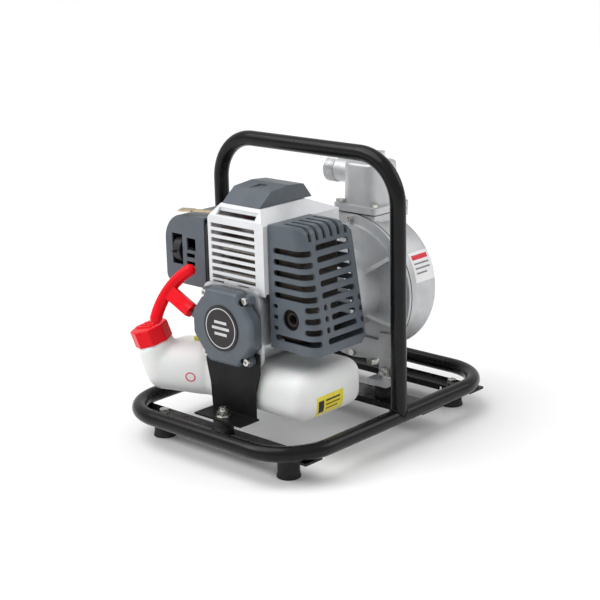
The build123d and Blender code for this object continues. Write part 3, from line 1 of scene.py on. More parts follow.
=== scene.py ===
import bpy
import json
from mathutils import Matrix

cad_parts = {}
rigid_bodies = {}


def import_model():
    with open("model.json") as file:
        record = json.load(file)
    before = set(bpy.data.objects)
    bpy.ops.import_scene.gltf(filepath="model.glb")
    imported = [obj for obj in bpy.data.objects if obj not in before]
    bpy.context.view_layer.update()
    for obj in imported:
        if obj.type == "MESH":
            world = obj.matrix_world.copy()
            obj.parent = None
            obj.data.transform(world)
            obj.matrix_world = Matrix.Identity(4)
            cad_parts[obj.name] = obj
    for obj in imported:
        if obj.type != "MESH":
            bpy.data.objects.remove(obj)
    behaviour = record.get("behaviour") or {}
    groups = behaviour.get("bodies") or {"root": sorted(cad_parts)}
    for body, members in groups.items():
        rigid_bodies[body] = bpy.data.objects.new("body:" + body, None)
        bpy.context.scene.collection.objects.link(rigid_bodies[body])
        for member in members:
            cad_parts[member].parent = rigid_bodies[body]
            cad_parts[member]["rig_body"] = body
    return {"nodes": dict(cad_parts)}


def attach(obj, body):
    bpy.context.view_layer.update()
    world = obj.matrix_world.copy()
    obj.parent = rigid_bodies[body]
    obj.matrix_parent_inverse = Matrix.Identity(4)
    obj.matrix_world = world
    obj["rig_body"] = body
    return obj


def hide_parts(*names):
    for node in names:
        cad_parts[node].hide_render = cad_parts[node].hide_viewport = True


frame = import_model()
"""Looks of a portable fire pump: finishes for the CAD pieces, and softened or added pieces around them."""

import json
import logging
import math
from dataclasses import dataclass, field
from enum import Enum

import bmesh
import bpy
from mathutils import Matrix, Vector
from mathutils.bvhtree import BVHTree

log = logging.getLogger("fire_pump")
Point = tuple[float, float, float]
Colour = tuple[float, float, float]
Socket = bpy.types.NodeSocket
MM = 0.001
SHAFT_Z = 0.156  # height of the crank and pump axis
SLEEVE_WALL = 0.8 * MM  # metal left under a thread's grooves
RIDGE_SHARES = (0.05, 0.4, 0.6, 0.95)  # where a ridge starts, crests and ends within its pitch
PRINT_THICKNESS = 0.1 * MM
STAND_OFF = 0.05  # metres in front of a piece from where its face is sought
SOFT_ANGLE = 38.0  # degrees between faces that still shade as one
ROUNDED_ANGLE = 34.0  # degrees between faces whose edge is rounded
FLAT_ANGLE = 0.6  # degrees between faces that are one flat
SAME_POINT = 0.000004  # metres between points that are one point


class Lay(Enum):
    """Which way a drawn or turned surface's fine lines run."""

    NONE = (1.0, 1.0, 1.0)
    ALONG_Y = (1.0, 0.04, 1.0)


# --------------------------------------------------------------------- finishes
class Bench:
    """A node material under construction, measured on the piece's own coordinates."""

    COLOUR_SPAN = (0.35, 0.65)
    GLOSS_SPAN = (0.3, 0.7)

    def __init__(self, name: str) -> None:
        """Starts a material with its shader.

        Args:
            name: The material's name.
        """
        self.material = bpy.data.materials.new(name)
        self.material.use_nodes = True
        self.tree = self.material.node_tree
        self.shader = self.tree.nodes["Principled BSDF"]
        self.place = self.tree.nodes.new("ShaderNodeTexCoord").outputs["Object"]

    def join(self, source: Socket, target: Socket) -> None:
        """Links one socket to another."""
        self.tree.links.new(source, target)

    def stretched(self, stretch: Point) -> Socket:
        """Stretches the coordinates.

        Args:
            stretch: Factors along X, Y and Z.

        Returns:
            The stretched coordinates' socket.
        """
        mapping = self.tree.nodes.new("ShaderNodeMapping")
        mapping.inputs["Scale"].default_value = stretch
        self.join(self.place, mapping.inputs["Vector"])
        return mapping.outputs["Vector"]

    def noise(self, scale: float, detail: float = 3.0, stretch: Point = (1.0, 1.0, 1.0)) -> Socket:
        """Cloudy noise.

        Args:
            scale: Features per metre.
            detail: Octaves of finer noise.
            stretch: Factors along X, Y and Z.

        Returns:
            The noise's value socket.
        """
        node = self.tree.nodes.new("ShaderNodeTexNoise")
        node.inputs["Scale"].default_value = scale
        node.inputs["Detail"].default_value = detail
        self.join(self.stretched(stretch), node.inputs["Vector"])
        return node.outputs["Fac"]

    def cells(self, scale: float) -> Socket:
        """Distance to the nearest point of a random field, for pits and grain.

        Args:
            scale: Points per metre.

        Returns:
            The distance's socket.
        """
        node = self.tree.nodes.new("ShaderNodeTexVoronoi")
        node.inputs["Scale"].default_value = scale
        self.join(self.place, node.inputs["Vector"])
        return node.outputs["Distance"]

    def span(self, value: Socket, start: tuple[float, float], end: tuple[float, float]) -> Socket:
        """Maps a value from one range to another.

        Args:
            value: The value's socket.
            start: Lowest and highest input value.
            end: Lowest and highest output value.

        Returns:
            The mapped value's socket.
        """
        node = self.tree.nodes.new("ShaderNodeMapRange")
        node.inputs["From Min"].default_value = start[0]
        node.inputs["From Max"].default_value = start[1]
        node.inputs["To Min"].default_value = end[0]
        node.inputs["To Max"].default_value = end[1]
        self.join(value, node.inputs["Value"])
        return node.outputs["Result"]

    def shades(self, value: Socket, dark: Colour, light: Colour) -> None:
        """Colours the surface between two colours by a value.

        Args:
            value: The value's socket.
            dark: Colour where the value is low.
            light: Colour where it is high.
        """
        node = self.tree.nodes.new("ShaderNodeValToRGB")
        node.color_ramp.elements[0].position = self.COLOUR_SPAN[0]
        node.color_ramp.elements[0].color = (*dark, 1.0)
        node.color_ramp.elements[1].position = self.COLOUR_SPAN[1]
        node.color_ramp.elements[1].color = (*light, 1.0)
        self.join(value, node.inputs["Fac"])
        self.join(node.outputs["Color"], self.shader.inputs["Base Color"])

    def gloss_between(self, value: Socket, low: float, high: float) -> None:
        """Lets the roughness wander between two values."""
        self.join(self.span(value, self.GLOSS_SPAN, (low, high)), self.shader.inputs["Roughness"])

    def bumps(self, heights: list[tuple[Socket, float]]) -> None:
        """Lays bumps over each other.

        Args:
            heights: Pairs of a height socket and the depth in metres that it stands for.
        """
        below = None
        for height, depth in heights:
            node = self.tree.nodes.new("ShaderNodeBump")
            node.inputs["Strength"].default_value = 1.0
            node.inputs["Distance"].default_value = depth
            self.join(height, node.inputs["Height"])
            if below is not None:
                self.join(below, node.inputs["Normal"])
            below = node.outputs["Normal"]
        self.join(below, self.shader.inputs["Normal"])


@dataclass(frozen=True)
class Finish:
    """What every finish has: a name, two shades and how rough it is."""

    name: str
    dark: Colour
    light: Colour
    rough: tuple[float, float]
    blotch: float = 40.0

    def bench(self) -> Bench:
        """Starts the material with its colour and roughness variation.

        Returns:
            The bench that holds the material.
        """
        bench = Bench(self.name)
        cloud = bench.noise(self.blotch, 4.0)
        bench.shades(cloud, self.dark, self.light)
        bench.gloss_between(bench.noise(self.blotch * 2.3, 5.0), *self.rough)
        return bench

    def make(self) -> bpy.types.Material:
        """Builds the material."""
        return self.bench().material


@dataclass(frozen=True)
class Paint(Finish):
    """Sprayed and baked paint with a faint orange peel."""

    peel: float = 0.00003
    coat: float = 0.12
    shine: float = 0.16
    coat_rough: float = 0.08
    peel_scale: float = 260.0
    dust_scale: float = 1800.0

    def make(self) -> bpy.types.Material:
        """Builds the paint.

        Returns:
            The paint's material.
        """
        bench = self.bench()
        bench.shader.inputs["Specular IOR Level"].default_value = self.shine
        bench.shader.inputs["Coat Weight"].default_value = self.coat
        bench.shader.inputs["Coat Roughness"].default_value = self.coat_rough
        peel = bench.noise(self.peel_scale, 2.0)
        bench.bumps([(peel, self.peel), (bench.noise(self.dust_scale, 1.0), self.peel * 0.1)])
        return bench.material


@dataclass(frozen=True)
class Casting(Finish):
    """Sand- or die-cast metal with a fine skin and small pits."""

    skin: float = 0.00012
    grain: float = 900.0
    metal: float = 0.85
    lumps: float = 60.0

    def make(self) -> bpy.types.Material:
        """Builds the cast metal.

        Returns:
            The cast metal's material.
        """
        bench = self.bench()
        bench.shader.inputs["Metallic"].default_value = self.metal
        pits = bench.span(bench.cells(self.grain * 0.8), (0.0, 0.25), (0.0, 1.0))
        bench.bumps([
            (bench.noise(self.grain, 4.0), self.skin),
            (pits, self.skin * 0.35),
            (bench.noise(self.lumps, 2.0), self.skin * 0.8),
        ])
        return bench.material


@dataclass(frozen=True)
class Metal(Finish):
    """Turned, drawn or plated metal with fine lines along one way."""

    lay: Lay = Lay.NONE
    lines: float = 0.00001
    scale: float = 2200.0
    ripple: float = 150.0

    def make(self) -> bpy.types.Material:
        """Builds the metal.

        Returns:
            The metal's material.
        """
        bench = self.bench()
        bench.shader.inputs["Metallic"].default_value = 1.0
        drawn = bench.noise(self.scale, 3.0, self.lay.value)
        bench.bumps([(drawn, self.lines), (bench.noise(self.ripple, 2.0), self.lines)])
        return bench.material


@dataclass(frozen=True)
class Plastic(Finish):
    """Moulded plastic: spark-eroded grain or gloss."""

    grain: float = 2600.0
    depth: float = 0.00003
    coat: float = 0.0
    glow: float = 0.0
    shine: float = 0.35
    coat_rough: float = 0.12
    glow_depth: float = 0.01
    ripple: float = 70.0

    def make(self) -> bpy.types.Material:
        """Builds the plastic.

        Returns:
            The plastic's material.
        """
        bench = self.bench()
        bench.shader.inputs["Specular IOR Level"].default_value = self.shine
        bench.shader.inputs["Coat Weight"].default_value = self.coat
        bench.shader.inputs["Coat Roughness"].default_value = self.coat_rough
        bench.shader.inputs["Subsurface Weight"].default_value = self.glow
        bench.shader.inputs["Subsurface Scale"].default_value = self.glow_depth
        grain = bench.noise(self.grain, 2.0)
        bench.bumps([(grain, self.depth), (bench.noise(self.ripple, 2.0), self.depth * 2.5)])
        return bench.material


@dataclass(frozen=True)
class Rubber(Finish):
    """Dusty moulded rubber."""

    shine: float = 0.35
    dust: tuple[float, float] = (1400.0, 0.00006)
    ripple: tuple[float, float] = (120.0, 0.0001)

    def make(self) -> bpy.types.Material:
        """Builds the rubber.

        Returns:
            The rubber's material.
        """
        bench = self.bench()
        bench.shader.inputs["Specular IOR Level"].default_value = self.shine
        (dust, dust_depth), (ripple, ripple_depth) = self.dust, self.ripple
        bench.bumps([(bench.noise(dust, 4.0), dust_depth), (bench.noise(ripple, 2.0), ripple_depth)])
        return bench.material


@dataclass(frozen=True)
class Foam(Finish):
    """Open-cell filter foam."""

    cell_scale: float = 900.0
    cell_depth: float = 0.0006

    def make(self) -> bpy.types.Material:
        """Builds the foam.

        Returns:
            The foam's material.
        """
        bench = self.bench()
        bench.bumps([(bench.cells(self.cell_scale), self.cell_depth)])
        return bench.material


class Finishes:
    """Every finish of the pump, each built once."""

    tube_black = Paint("tube_black", (0.003, 0.003, 0.003), (0.006, 0.006, 0.006), (0.20, 0.32))
    bracket_black = Paint("bracket_black", (0.005, 0.005, 0.005), (0.009, 0.009, 0.009), (0.34, 0.48),
                          coat=0.05)
    rubber = Rubber("rubber_black", (0.012, 0.012, 0.012), (0.022, 0.022, 0.022), (0.65, 0.85))
    zinc = Metal("zinc_plate", (0.55, 0.56, 0.54), (0.72, 0.71, 0.66), (0.18, 0.36), blotch=160.0)
    steel = Metal("machined_steel", (0.42, 0.42, 0.43), (0.55, 0.55, 0.56), (0.22, 0.38), lay=Lay.ALONG_Y)
    cast = Casting("cast_aluminium", (0.49, 0.50, 0.51), (0.56, 0.57, 0.58), (0.42, 0.54))
    die_cast = Casting("die_cast_aluminium", (0.50, 0.51, 0.52), (0.62, 0.63, 0.64), (0.32, 0.48),
                       skin=0.00005)
    fins = Casting("fin_aluminium", (0.48, 0.46, 0.43), (0.62, 0.60, 0.57), (0.35, 0.55), skin=0.00008)
    machined = Metal("machined_aluminium", (0.56, 0.57, 0.58), (0.70, 0.71, 0.72), (0.20, 0.36))
    cover_grey = Plastic("cover_grey", (0.082, 0.098, 0.116), (0.096, 0.114, 0.134), (0.30, 0.42),
                         coat=0.10, shine=0.3)
    shroud_white = Plastic("shroud_white", (0.68, 0.69, 0.71), (0.72, 0.73, 0.75), (0.18, 0.28),
                           depth=0.000006, coat=0.25, glow=0.05)
    tank_white = Plastic("tank_white", (0.80, 0.81, 0.805), (0.83, 0.84, 0.83), (0.34, 0.44), depth=0.00002,
                         glow=0.25, grain=900.0, blotch=14.0)
    signal_red = Plastic("signal_red", (0.72, 0.0, 0.006), (0.82, 0.0, 0.010), (0.26, 0.38), depth=0.00001,
                         coat=0.08, shine=0.16)
    black_plastic = Plastic("black_plastic", (0.012, 0.012, 0.013), (0.022, 0.022, 0.024), (0.40, 0.58))
    badge = Plastic("badge_dark", (0.022, 0.019, 0.020), (0.032, 0.028, 0.030), (0.30, 0.42),
                    depth=0.000008, coat=0.05, shine=0.2)
    tan_zinc = Metal("yellow_zinc", (0.50, 0.40, 0.24), (0.66, 0.56, 0.36), (0.24, 0.40), blotch=200.0)
    hose = Plastic("fuel_hose", (0.50, 0.52, 0.06), (0.62, 0.64, 0.10), (0.20, 0.34), glow=0.3)
    foam = Foam("filter_foam", (0.03, 0.03, 0.03), (0.06, 0.06, 0.06), (0.85, 0.95), blotch=400.0)
    gasket = Rubber("gasket_sheet", (0.02, 0.02, 0.02), (0.035, 0.034, 0.033), (0.70, 0.88))
    hot_steel = Casting("heat_stained_steel", (0.035, 0.030, 0.027), (0.080, 0.068, 0.058), (0.45, 0.70),
                        skin=0.00006, metal=0.7)
    label_white = Plastic("label_white", (0.78, 0.78, 0.79), (0.84, 0.84, 0.85), (0.25, 0.35),
                          depth=0.000005, coat=0.3)
    label_yellow = Plastic("label_yellow", (0.80, 0.66, 0.03), (0.86, 0.72, 0.05), (0.25, 0.35),
                           depth=0.000005, coat=0.3)
    print_black = Plastic("print_black", (0.02, 0.02, 0.02), (0.035, 0.035, 0.035), (0.35, 0.50),
                          depth=0.000004)
    print_red = Plastic("print_red", (0.62, 0.01, 0.03), (0.70, 0.02, 0.04), (0.25, 0.35), depth=0.000004)
    rope = Rubber("braided_rope", (0.03, 0.03, 0.03), (0.07, 0.07, 0.07), (0.60, 0.80), blotch=900.0)
    emblem = Plastic("emblem_silver", (0.50, 0.50, 0.51), (0.62, 0.62, 0.63), (0.26, 0.38), depth=0.000004)
    print_grey = Plastic("print_grey", (0.18, 0.18, 0.19), (0.24, 0.24, 0.25), (0.35, 0.50), depth=0.000004)
    _made: dict[str, bpy.types.Material] = {}

    @classmethod
    def get(cls, finish: Finish) -> bpy.types.Material:
        """Looks up a material, built the first time it is asked for.

        Args:
            finish: The finish.

        Returns:
            The finish's material.
        """
        if finish.name not in cls._made:
            cls._made[finish.name] = finish.make()
        return cls._made[finish.name]


# ----------------------------------------------------------------- mesh helpers
def new_piece(name: str, bm: bmesh.types.BMesh, finish: Finish, body: str) -> bpy.types.Object:
    """Turns a bmesh into a shown piece.

    Args:
        name: The piece's name.
        bm: The mesh, in metres in the row frame; it is freed here.
        finish: The piece's finish.
        body: The body it rides on.

    Returns:
        The new object.
    """
    mesh = bpy.data.meshes.new(name)
    bm.to_mesh(mesh)
    bm.free()
    stale = mesh.attributes.get("custom_normal")
    if stale is not None:
        mesh.attributes.remove(stale)
    mesh.materials.clear()
    mesh.materials.append(Finishes.get(finish))
    mesh.shade_smooth()
    mesh.set_sharp_from_angle(angle=math.radians(SOFT_ANGLE))
    piece = bpy.data.objects.new(name, mesh)
    bpy.context.scene.collection.objects.link(piece)
    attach(piece, body)
    return piece


def weighted(piece: bpy.types.Object) -> None:
    """Keeps the flats of a bevelled piece looking flat.

    Args:
        piece: The bevelled piece.
    """
    normals = piece.modifiers.new("flats", "WEIGHTED_NORMAL")
    normals.keep_sharp = True
    normals.weight = 60


def ridged_sleeve(axis: str, start: Point, length: float, root: float, crest: float,
                  pitch: float) -> bmesh.types.BMesh:
    """Spins a thread's ridges about X or Y.

    Args:
        axis: X or Y.
        start: Centre of the sleeve's lower end.
        length: Length of the thread.
        root: Radius at the bottom of a groove.
        crest: Radius at the top of a ridge.
        pitch: Ridge to ridge.

    Returns:
        The closed sleeve.
    """
    along = Vector((1.0, 0.0, 0.0)) if axis == "X" else Vector((0.0, 1.0, 0.0))
    origin = Vector(start)
    up = Vector((0.0, 0.0, 1.0))
    bm = bmesh.new()
    bottom = origin + up * (root - SLEEVE_WALL)
    outline = [bm.verts.new(bottom)]
    count = int(length / pitch)
    for index in range(count):
        for share, radius in zip(RIDGE_SHARES, (root, crest, crest, root)):
            outline.append(bm.verts.new(origin + along * (index + share) * pitch + up * radius))
    outline.append(bm.verts.new(bottom + along * (count * pitch)))
    edges = [bm.edges.new(pair) for pair in zip(outline, outline[1:] + outline[:1])]
    bmesh.ops.spin(bm, geom=outline + edges, cent=origin, axis=along, angle=2.0 * math.pi, steps=72,
                   use_merge=True)
    bmesh.ops.remove_doubles(bm, verts=bm.verts, dist=SAME_POINT)
    bmesh.ops.recalc_face_normals(bm, faces=bm.faces)
    return bm


@dataclass(frozen=True)
class Sticker:
    """A flat print laid onto a curved piece."""

    name: str
    centre: Point
    inwards: Point
    across: Point
    slot: str

    def lay(self, target: bpy.types.Object, bm: bmesh.types.BMesh, finish: Finish, lift: float) -> None:
        """Lays a flat mesh onto the target and gives it a thickness.

        Args:
            target: The piece that carries the print.
            bm: The flat mesh, X across and Y up, in metres.
            finish: The print's finish.
            lift: How far it stands off the target.
        """
        tree = BVHTree.FromObject(target, bpy.context.evaluated_depsgraph_get())
        inwards = Vector(self.inwards).normalized()
        across = Vector(self.across).normalized()
        up = across.cross(inwards)
        for vert in bm.verts:
            place = Vector(self.centre) + across * vert.co.x + up * vert.co.y
            hit, normal, _, _ = tree.ray_cast(place - inwards * STAND_OFF, inwards)
            vert.co = hit + normal * lift if hit is not None else place
        bm.normal_update()
        bmesh.ops.solidify(bm, geom=list(bm.faces), thickness=PRINT_THICKNESS)
        bmesh.ops.recalc_face_normals(bm, faces=bm.faces)
        new_piece(self.name, bm, finish, "machine")


def patch(width: float, height: float, x: float = 0.0, y: float = 0.0) -> bmesh.types.BMesh:
    """Makes a flat rectangle fine enough to bend.

    Args:
        width: Its width in metres.
        height: Its height in metres.
        x: Its centre, across.
        y: Its centre, upwards.

    Returns:
        The rectangle.
    """
    bm = bmesh.new()
    shape = Matrix.Translation((x, y, 0.0)) @ Matrix.Diagonal((width / 2, height / 2, 1.0, 1.0))
    bmesh.ops.create_grid(bm, x_segments=14, y_segments=14, size=1.0, matrix=shape)
    return bm


@dataclass(frozen=True)
class Mark:
    """One rectangle of a printed label, in millimetres from the label's centre."""

    name: str
    size: tuple[float, float]
    place: tuple[float, float]
    finish: Finish
    slot: str
    lift: float


@dataclass(frozen=True)
class Label:
    """A printed label made of rectangles, without any lettering."""

    centre: Point
    inwards: Point
    across: Point
    marks: tuple[Mark, ...]

    def lay(self, target: bpy.types.Object) -> None:
        """Lays every rectangle onto a piece.

        Args:
            target: The piece that carries the label.
        """
        for mark in self.marks:
            width, height, x, y = (number * MM for number in (*mark.size, *mark.place))
            sticker = Sticker(mark.name, self.centre, self.inwards, self.across, mark.slot)
            sticker.lay(target, patch(width, height, x, y), mark.finish, mark.lift * MM)


def flat_ring(inner: float, outer: float) -> bmesh.types.BMesh:
    """Makes a flat ring.

    Args:
        inner: Its inner radius in metres.
        outer: Its outer radius in metres.

    Returns:
        The ring.
    """
    bm = bmesh.new()
    bmesh.ops.create_circle(bm, cap_ends=False, radius=outer, segments=48)
    edges = list(bm.edges)
    made = bmesh.ops.extrude_edge_only(bm, edges=edges)
    ring = [item for item in made["geom"] if isinstance(item, bmesh.types.BMVert)]
    bmesh.ops.scale(bm, vec=(inner / outer, inner / outer, 1.0), verts=ring)
    return bm


@dataclass
class SubAssembly:
    """One group of pieces: CAD nodes with a finish, and nodes whose edges are softened."""

    finishes: dict[str, Finish] = field(default_factory=dict)
    softened: dict[str, float] = field(default_factory=dict)

    def build(self) -> None:
        """Dresses every node and softens the listed ones."""
        for node, finish in self.finishes.items():
            if node in self.softened:
                self.soften(node, self.softened[node], finish)
            else:
                self.dress(node, finish)
        self.details()

    def details(self) -> None:
        """Adds the pieces that only this sub-assembly has."""

    def dress(self, node: str, finish: Finish) -> None:
        """Gives a CAD node its finish.

        Args:
            node: The CAD node.
            finish: Its finish.
        """
        mesh = frame["nodes"][node].data
        mesh.materials.clear()
        mesh.materials.append(Finishes.get(finish))
        log.info("dressed %s in %s", node, finish.name)

    def soften(self, node: str, width: float, finish: Finish) -> None:
        """Replaces a CAD node with a copy whose sharp edges are rounded.

        Args:
            node: The CAD node.
            width: The rounding's width in metres.
            finish: The piece's finish.
        """
        source = frame["nodes"][node]
        bm = bmesh.new()
        bm.from_mesh(source.data)
        bmesh.ops.remove_doubles(bm, verts=bm.verts, dist=SAME_POINT)
        bmesh.ops.dissolve_limit(bm, angle_limit=math.radians(FLAT_ANGLE), verts=bm.verts, edges=bm.edges)
        sharp = [e for e in bm.edges if e.is_manifold and e.calc_face_angle(0.0) > math.radians(ROUNDED_ANGLE)]
        bmesh.ops.bevel(bm, geom=sharp, offset=width, offset_type="OFFSET", segments=2, profile=0.5,
                        affect="EDGES", clamp_overlap=True, material=-1)
        bmesh.ops.triangulate(bm, faces=[f for f in bm.faces if len(f.verts) > 4])
        piece = new_piece(f"{node}_finished", bm, finish, source["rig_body"])
        weighted(piece)
        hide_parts(node)
        log.info("softened %s by %.1f mm", node, width / MM)


# --------------------------------------------------------------- sub-assemblies
@dataclass
class CarryFrame(SubAssembly):
    """Bent tube frame, its strips, feet and rubber mounts."""

    finishes: dict[str, Finish] = field(default_factory=lambda: {
        "base_loop": Finishes.tube_black,
        "carry_handle": Finishes.tube_black,
        "cross_strips": Finishes.tube_black,
        "rubber_feet": Finishes.rubber,
        "rubber_mounts": Finishes.rubber,
        "frame_fasteners": Finishes.zinc,
        "engine_bracket": Finishes.bracket_black,
    })
    softened: dict[str, float] = field(default_factory=lambda: {
        "cross_strips": 0.4 * MM, "rubber_feet": 1.2 * MM, "rubber_mounts": 1.0 * MM,
        "frame_fasteners": 0.35 * MM, "engine_bracket": 0.7 * MM,
    })
    weld_x: float = 143.5 * MM
    loop_z: float = 38.5 * MM
    tube_radius: float = 9.5 * MM
    bead_radius: float = 1.9 * MM
    bead_count: int = 40
    bead_lift: float = 0.4 * MM
    bead_spread: float = 1.02
    bead_flatness: float = 0.8

    def details(self) -> None:
        """Adds the weld beads at the feet of the handle."""
        for side in (-1, 1):
            bm = bmesh.new()
            for index in range(self.bead_count):
                angle = 2.0 * math.pi * index / self.bead_count
                across = self.tube_radius * math.cos(angle)
                place = Vector((
                    side * self.weld_x + across,
                    self.tube_radius * math.sin(angle) * self.bead_spread,
                    self.loop_z + math.sqrt(max(self.tube_radius ** 2 - across ** 2, 0.0)) + self.bead_lift,
                ))
                shape = Matrix.Translation(place) @ Matrix.Diagonal((1.0, 1.0, self.bead_flatness, 1.0))
                bmesh.ops.create_icosphere(bm, subdivisions=2, radius=self.bead_radius, matrix=shape)
            name = "weld_bead_right" if side > 0 else "weld_bead_left"
            new_piece(name, bm, Finishes.tube_black, "machine")
            log.info("built %s", name)


@dataclass
class Engine(SubAssembly):
    """Crankcase, cylinder, ignition and the moving parts inside."""

    finishes: dict[str, Finish] = field(default_factory=lambda: {
        "crankcase_front": Finishes.die_cast,
        "crankcase_rear": Finishes.die_cast,
        "ball_bearings": Finishes.steel,
        "crankshaft": Finishes.steel,
        "connecting_rod": Finishes.steel,
        "piston": Finishes.machined,
        "piston_rings": Finishes.steel,
        "cylinder": Finishes.fins,
        "spark_plug": Finishes.steel,
        "ignition_lead": Finishes.black_plastic,
        "ignition_coil": Finishes.black_plastic,
        "flywheel_fan": Finishes.machined,
    })
    softened: dict[str, float] = field(default_factory=lambda: {
        "crankcase_front": 0.8 * MM, "crankcase_rear": 0.8 * MM, "ignition_coil": 0.8 * MM,
    })


@dataclass
class Covers(SubAssembly):
    """White shroud, grey cap, fan housing and stop switch."""

    finishes: dict[str, Finish] = field(default_factory=lambda: {
        "cylinder_shroud": Finishes.shroud_white,
        "top_cap": Finishes.cover_grey,
        "fan_housing": Finishes.cover_grey,
        "stop_switch": Finishes.signal_red,
    })
    softened: dict[str, float] = field(default_factory=lambda: {
        "cylinder_shroud": 0.9 * MM, "top_cap": 1.1 * MM, "fan_housing": 0.8 * MM, "stop_switch": 0.6 * MM,
    })


@dataclass
class Starter(SubAssembly):
    """Recoil starter with its badge, screws, pulley and pull handle."""

    finishes: dict[str, Finish] = field(default_factory=lambda: {
        "starter_housing": Finishes.cover_grey,
        "starter_badge": Finishes.badge,
        "starter_screws": Finishes.zinc,
        "starter_pulley": Finishes.black_plastic,
        "starter_cup": Finishes.steel,
        "starter_handle": Finishes.signal_red,
    })
    softened: dict[str, float] = field(default_factory=lambda: {
        "starter_housing": 0.8 * MM, "starter_badge": 0.5 * MM, "starter_screws": 0.3 * MM,
        "starter_handle": 1.2 * MM,
    })
    badge_front: float = -150.0 * MM
    rim: tuple[float, float] = (23.0 * MM, 24.2 * MM)
    bar_widths: Point = (20.0 * MM, 28.0 * MM, 20.0 * MM)
    bar_height: float = 3.4 * MM
    bar_step: float = 7.0 * MM
    emblem_lift: float = 0.15 * MM
    rope_offset: float = 16.0 * MM
    rope_reach: float = 52.0 * MM
    rope_halo: float = 2.2 * MM
    rope_way: Point = (-0.9063, 0.0, 0.4226)

    def details(self) -> None:
        """Adds the badge's plain emblem and gives the rope its own finish."""
        centre = (0.0, self.badge_front, SHAFT_Z)
        badge = bpy.context.scene.objects["starter_badge_finished"]
        marks = [("badge_rim", flat_ring(*self.rim))]
        for index, width in enumerate(self.bar_widths):
            bar = patch(width, self.bar_height, 0.0, (1 - index) * self.bar_step)
            marks.append((f"badge_bar_{index}", bar))
        for name, shape in marks:
            Sticker(name, centre, (0.0, 1.0, 0.0), (1.0, 0.0, 0.0), "machined_aluminium").lay(
                badge, shape, Finishes.emblem, self.emblem_lift)
        handle = bpy.context.scene.objects["starter_handle_finished"]
        handle.data.materials.append(Finishes.get(Finishes.rope))
        way = Vector(self.rope_way)
        for face in handle.data.polygons:
            away = face.center - Vector((0.0, 0.0, SHAFT_Z))
            away.y = 0.0
            aside = (away - way * away.dot(way)).length - self.rope_offset
            if abs(aside) < self.rope_halo and away.dot(way) < self.rope_reach:
                face.material_index = 1


@dataclass
class Exhaust(SubAssembly):
    """Muffler and its louvred guard."""

    finishes: dict[str, Finish] = field(default_factory=lambda: {
        "muffler_guard": Finishes.cover_grey,
        "muffler": Finishes.hot_steel,
    })
    softened: dict[str, float] = field(default_factory=lambda: {"muffler_guard": 0.7 * MM})


@dataclass
class Intake(SubAssembly):
    """Carburettor, air filter and their levers."""

    finishes: dict[str, Finish] = field(default_factory=lambda: {
        "intake_insulator": Finishes.black_plastic,
        "carburettor": Finishes.die_cast,
        "primer_bulb": Finishes.black_plastic,
        "throttle_lever": Finishes.tan_zinc,
        "filter_base": Finishes.black_plastic,
        "filter_cover": Finishes.cover_grey,
        "filter_element": Finishes.foam,
        "choke_lever": Finishes.black_plastic,
    })
    softened: dict[str, float] = field(default_factory=lambda: {
        "carburettor": 0.6 * MM, "filter_base": 0.8 * MM, "filter_cover": 1.2 * MM, "choke_lever": 0.6 * MM,
    })


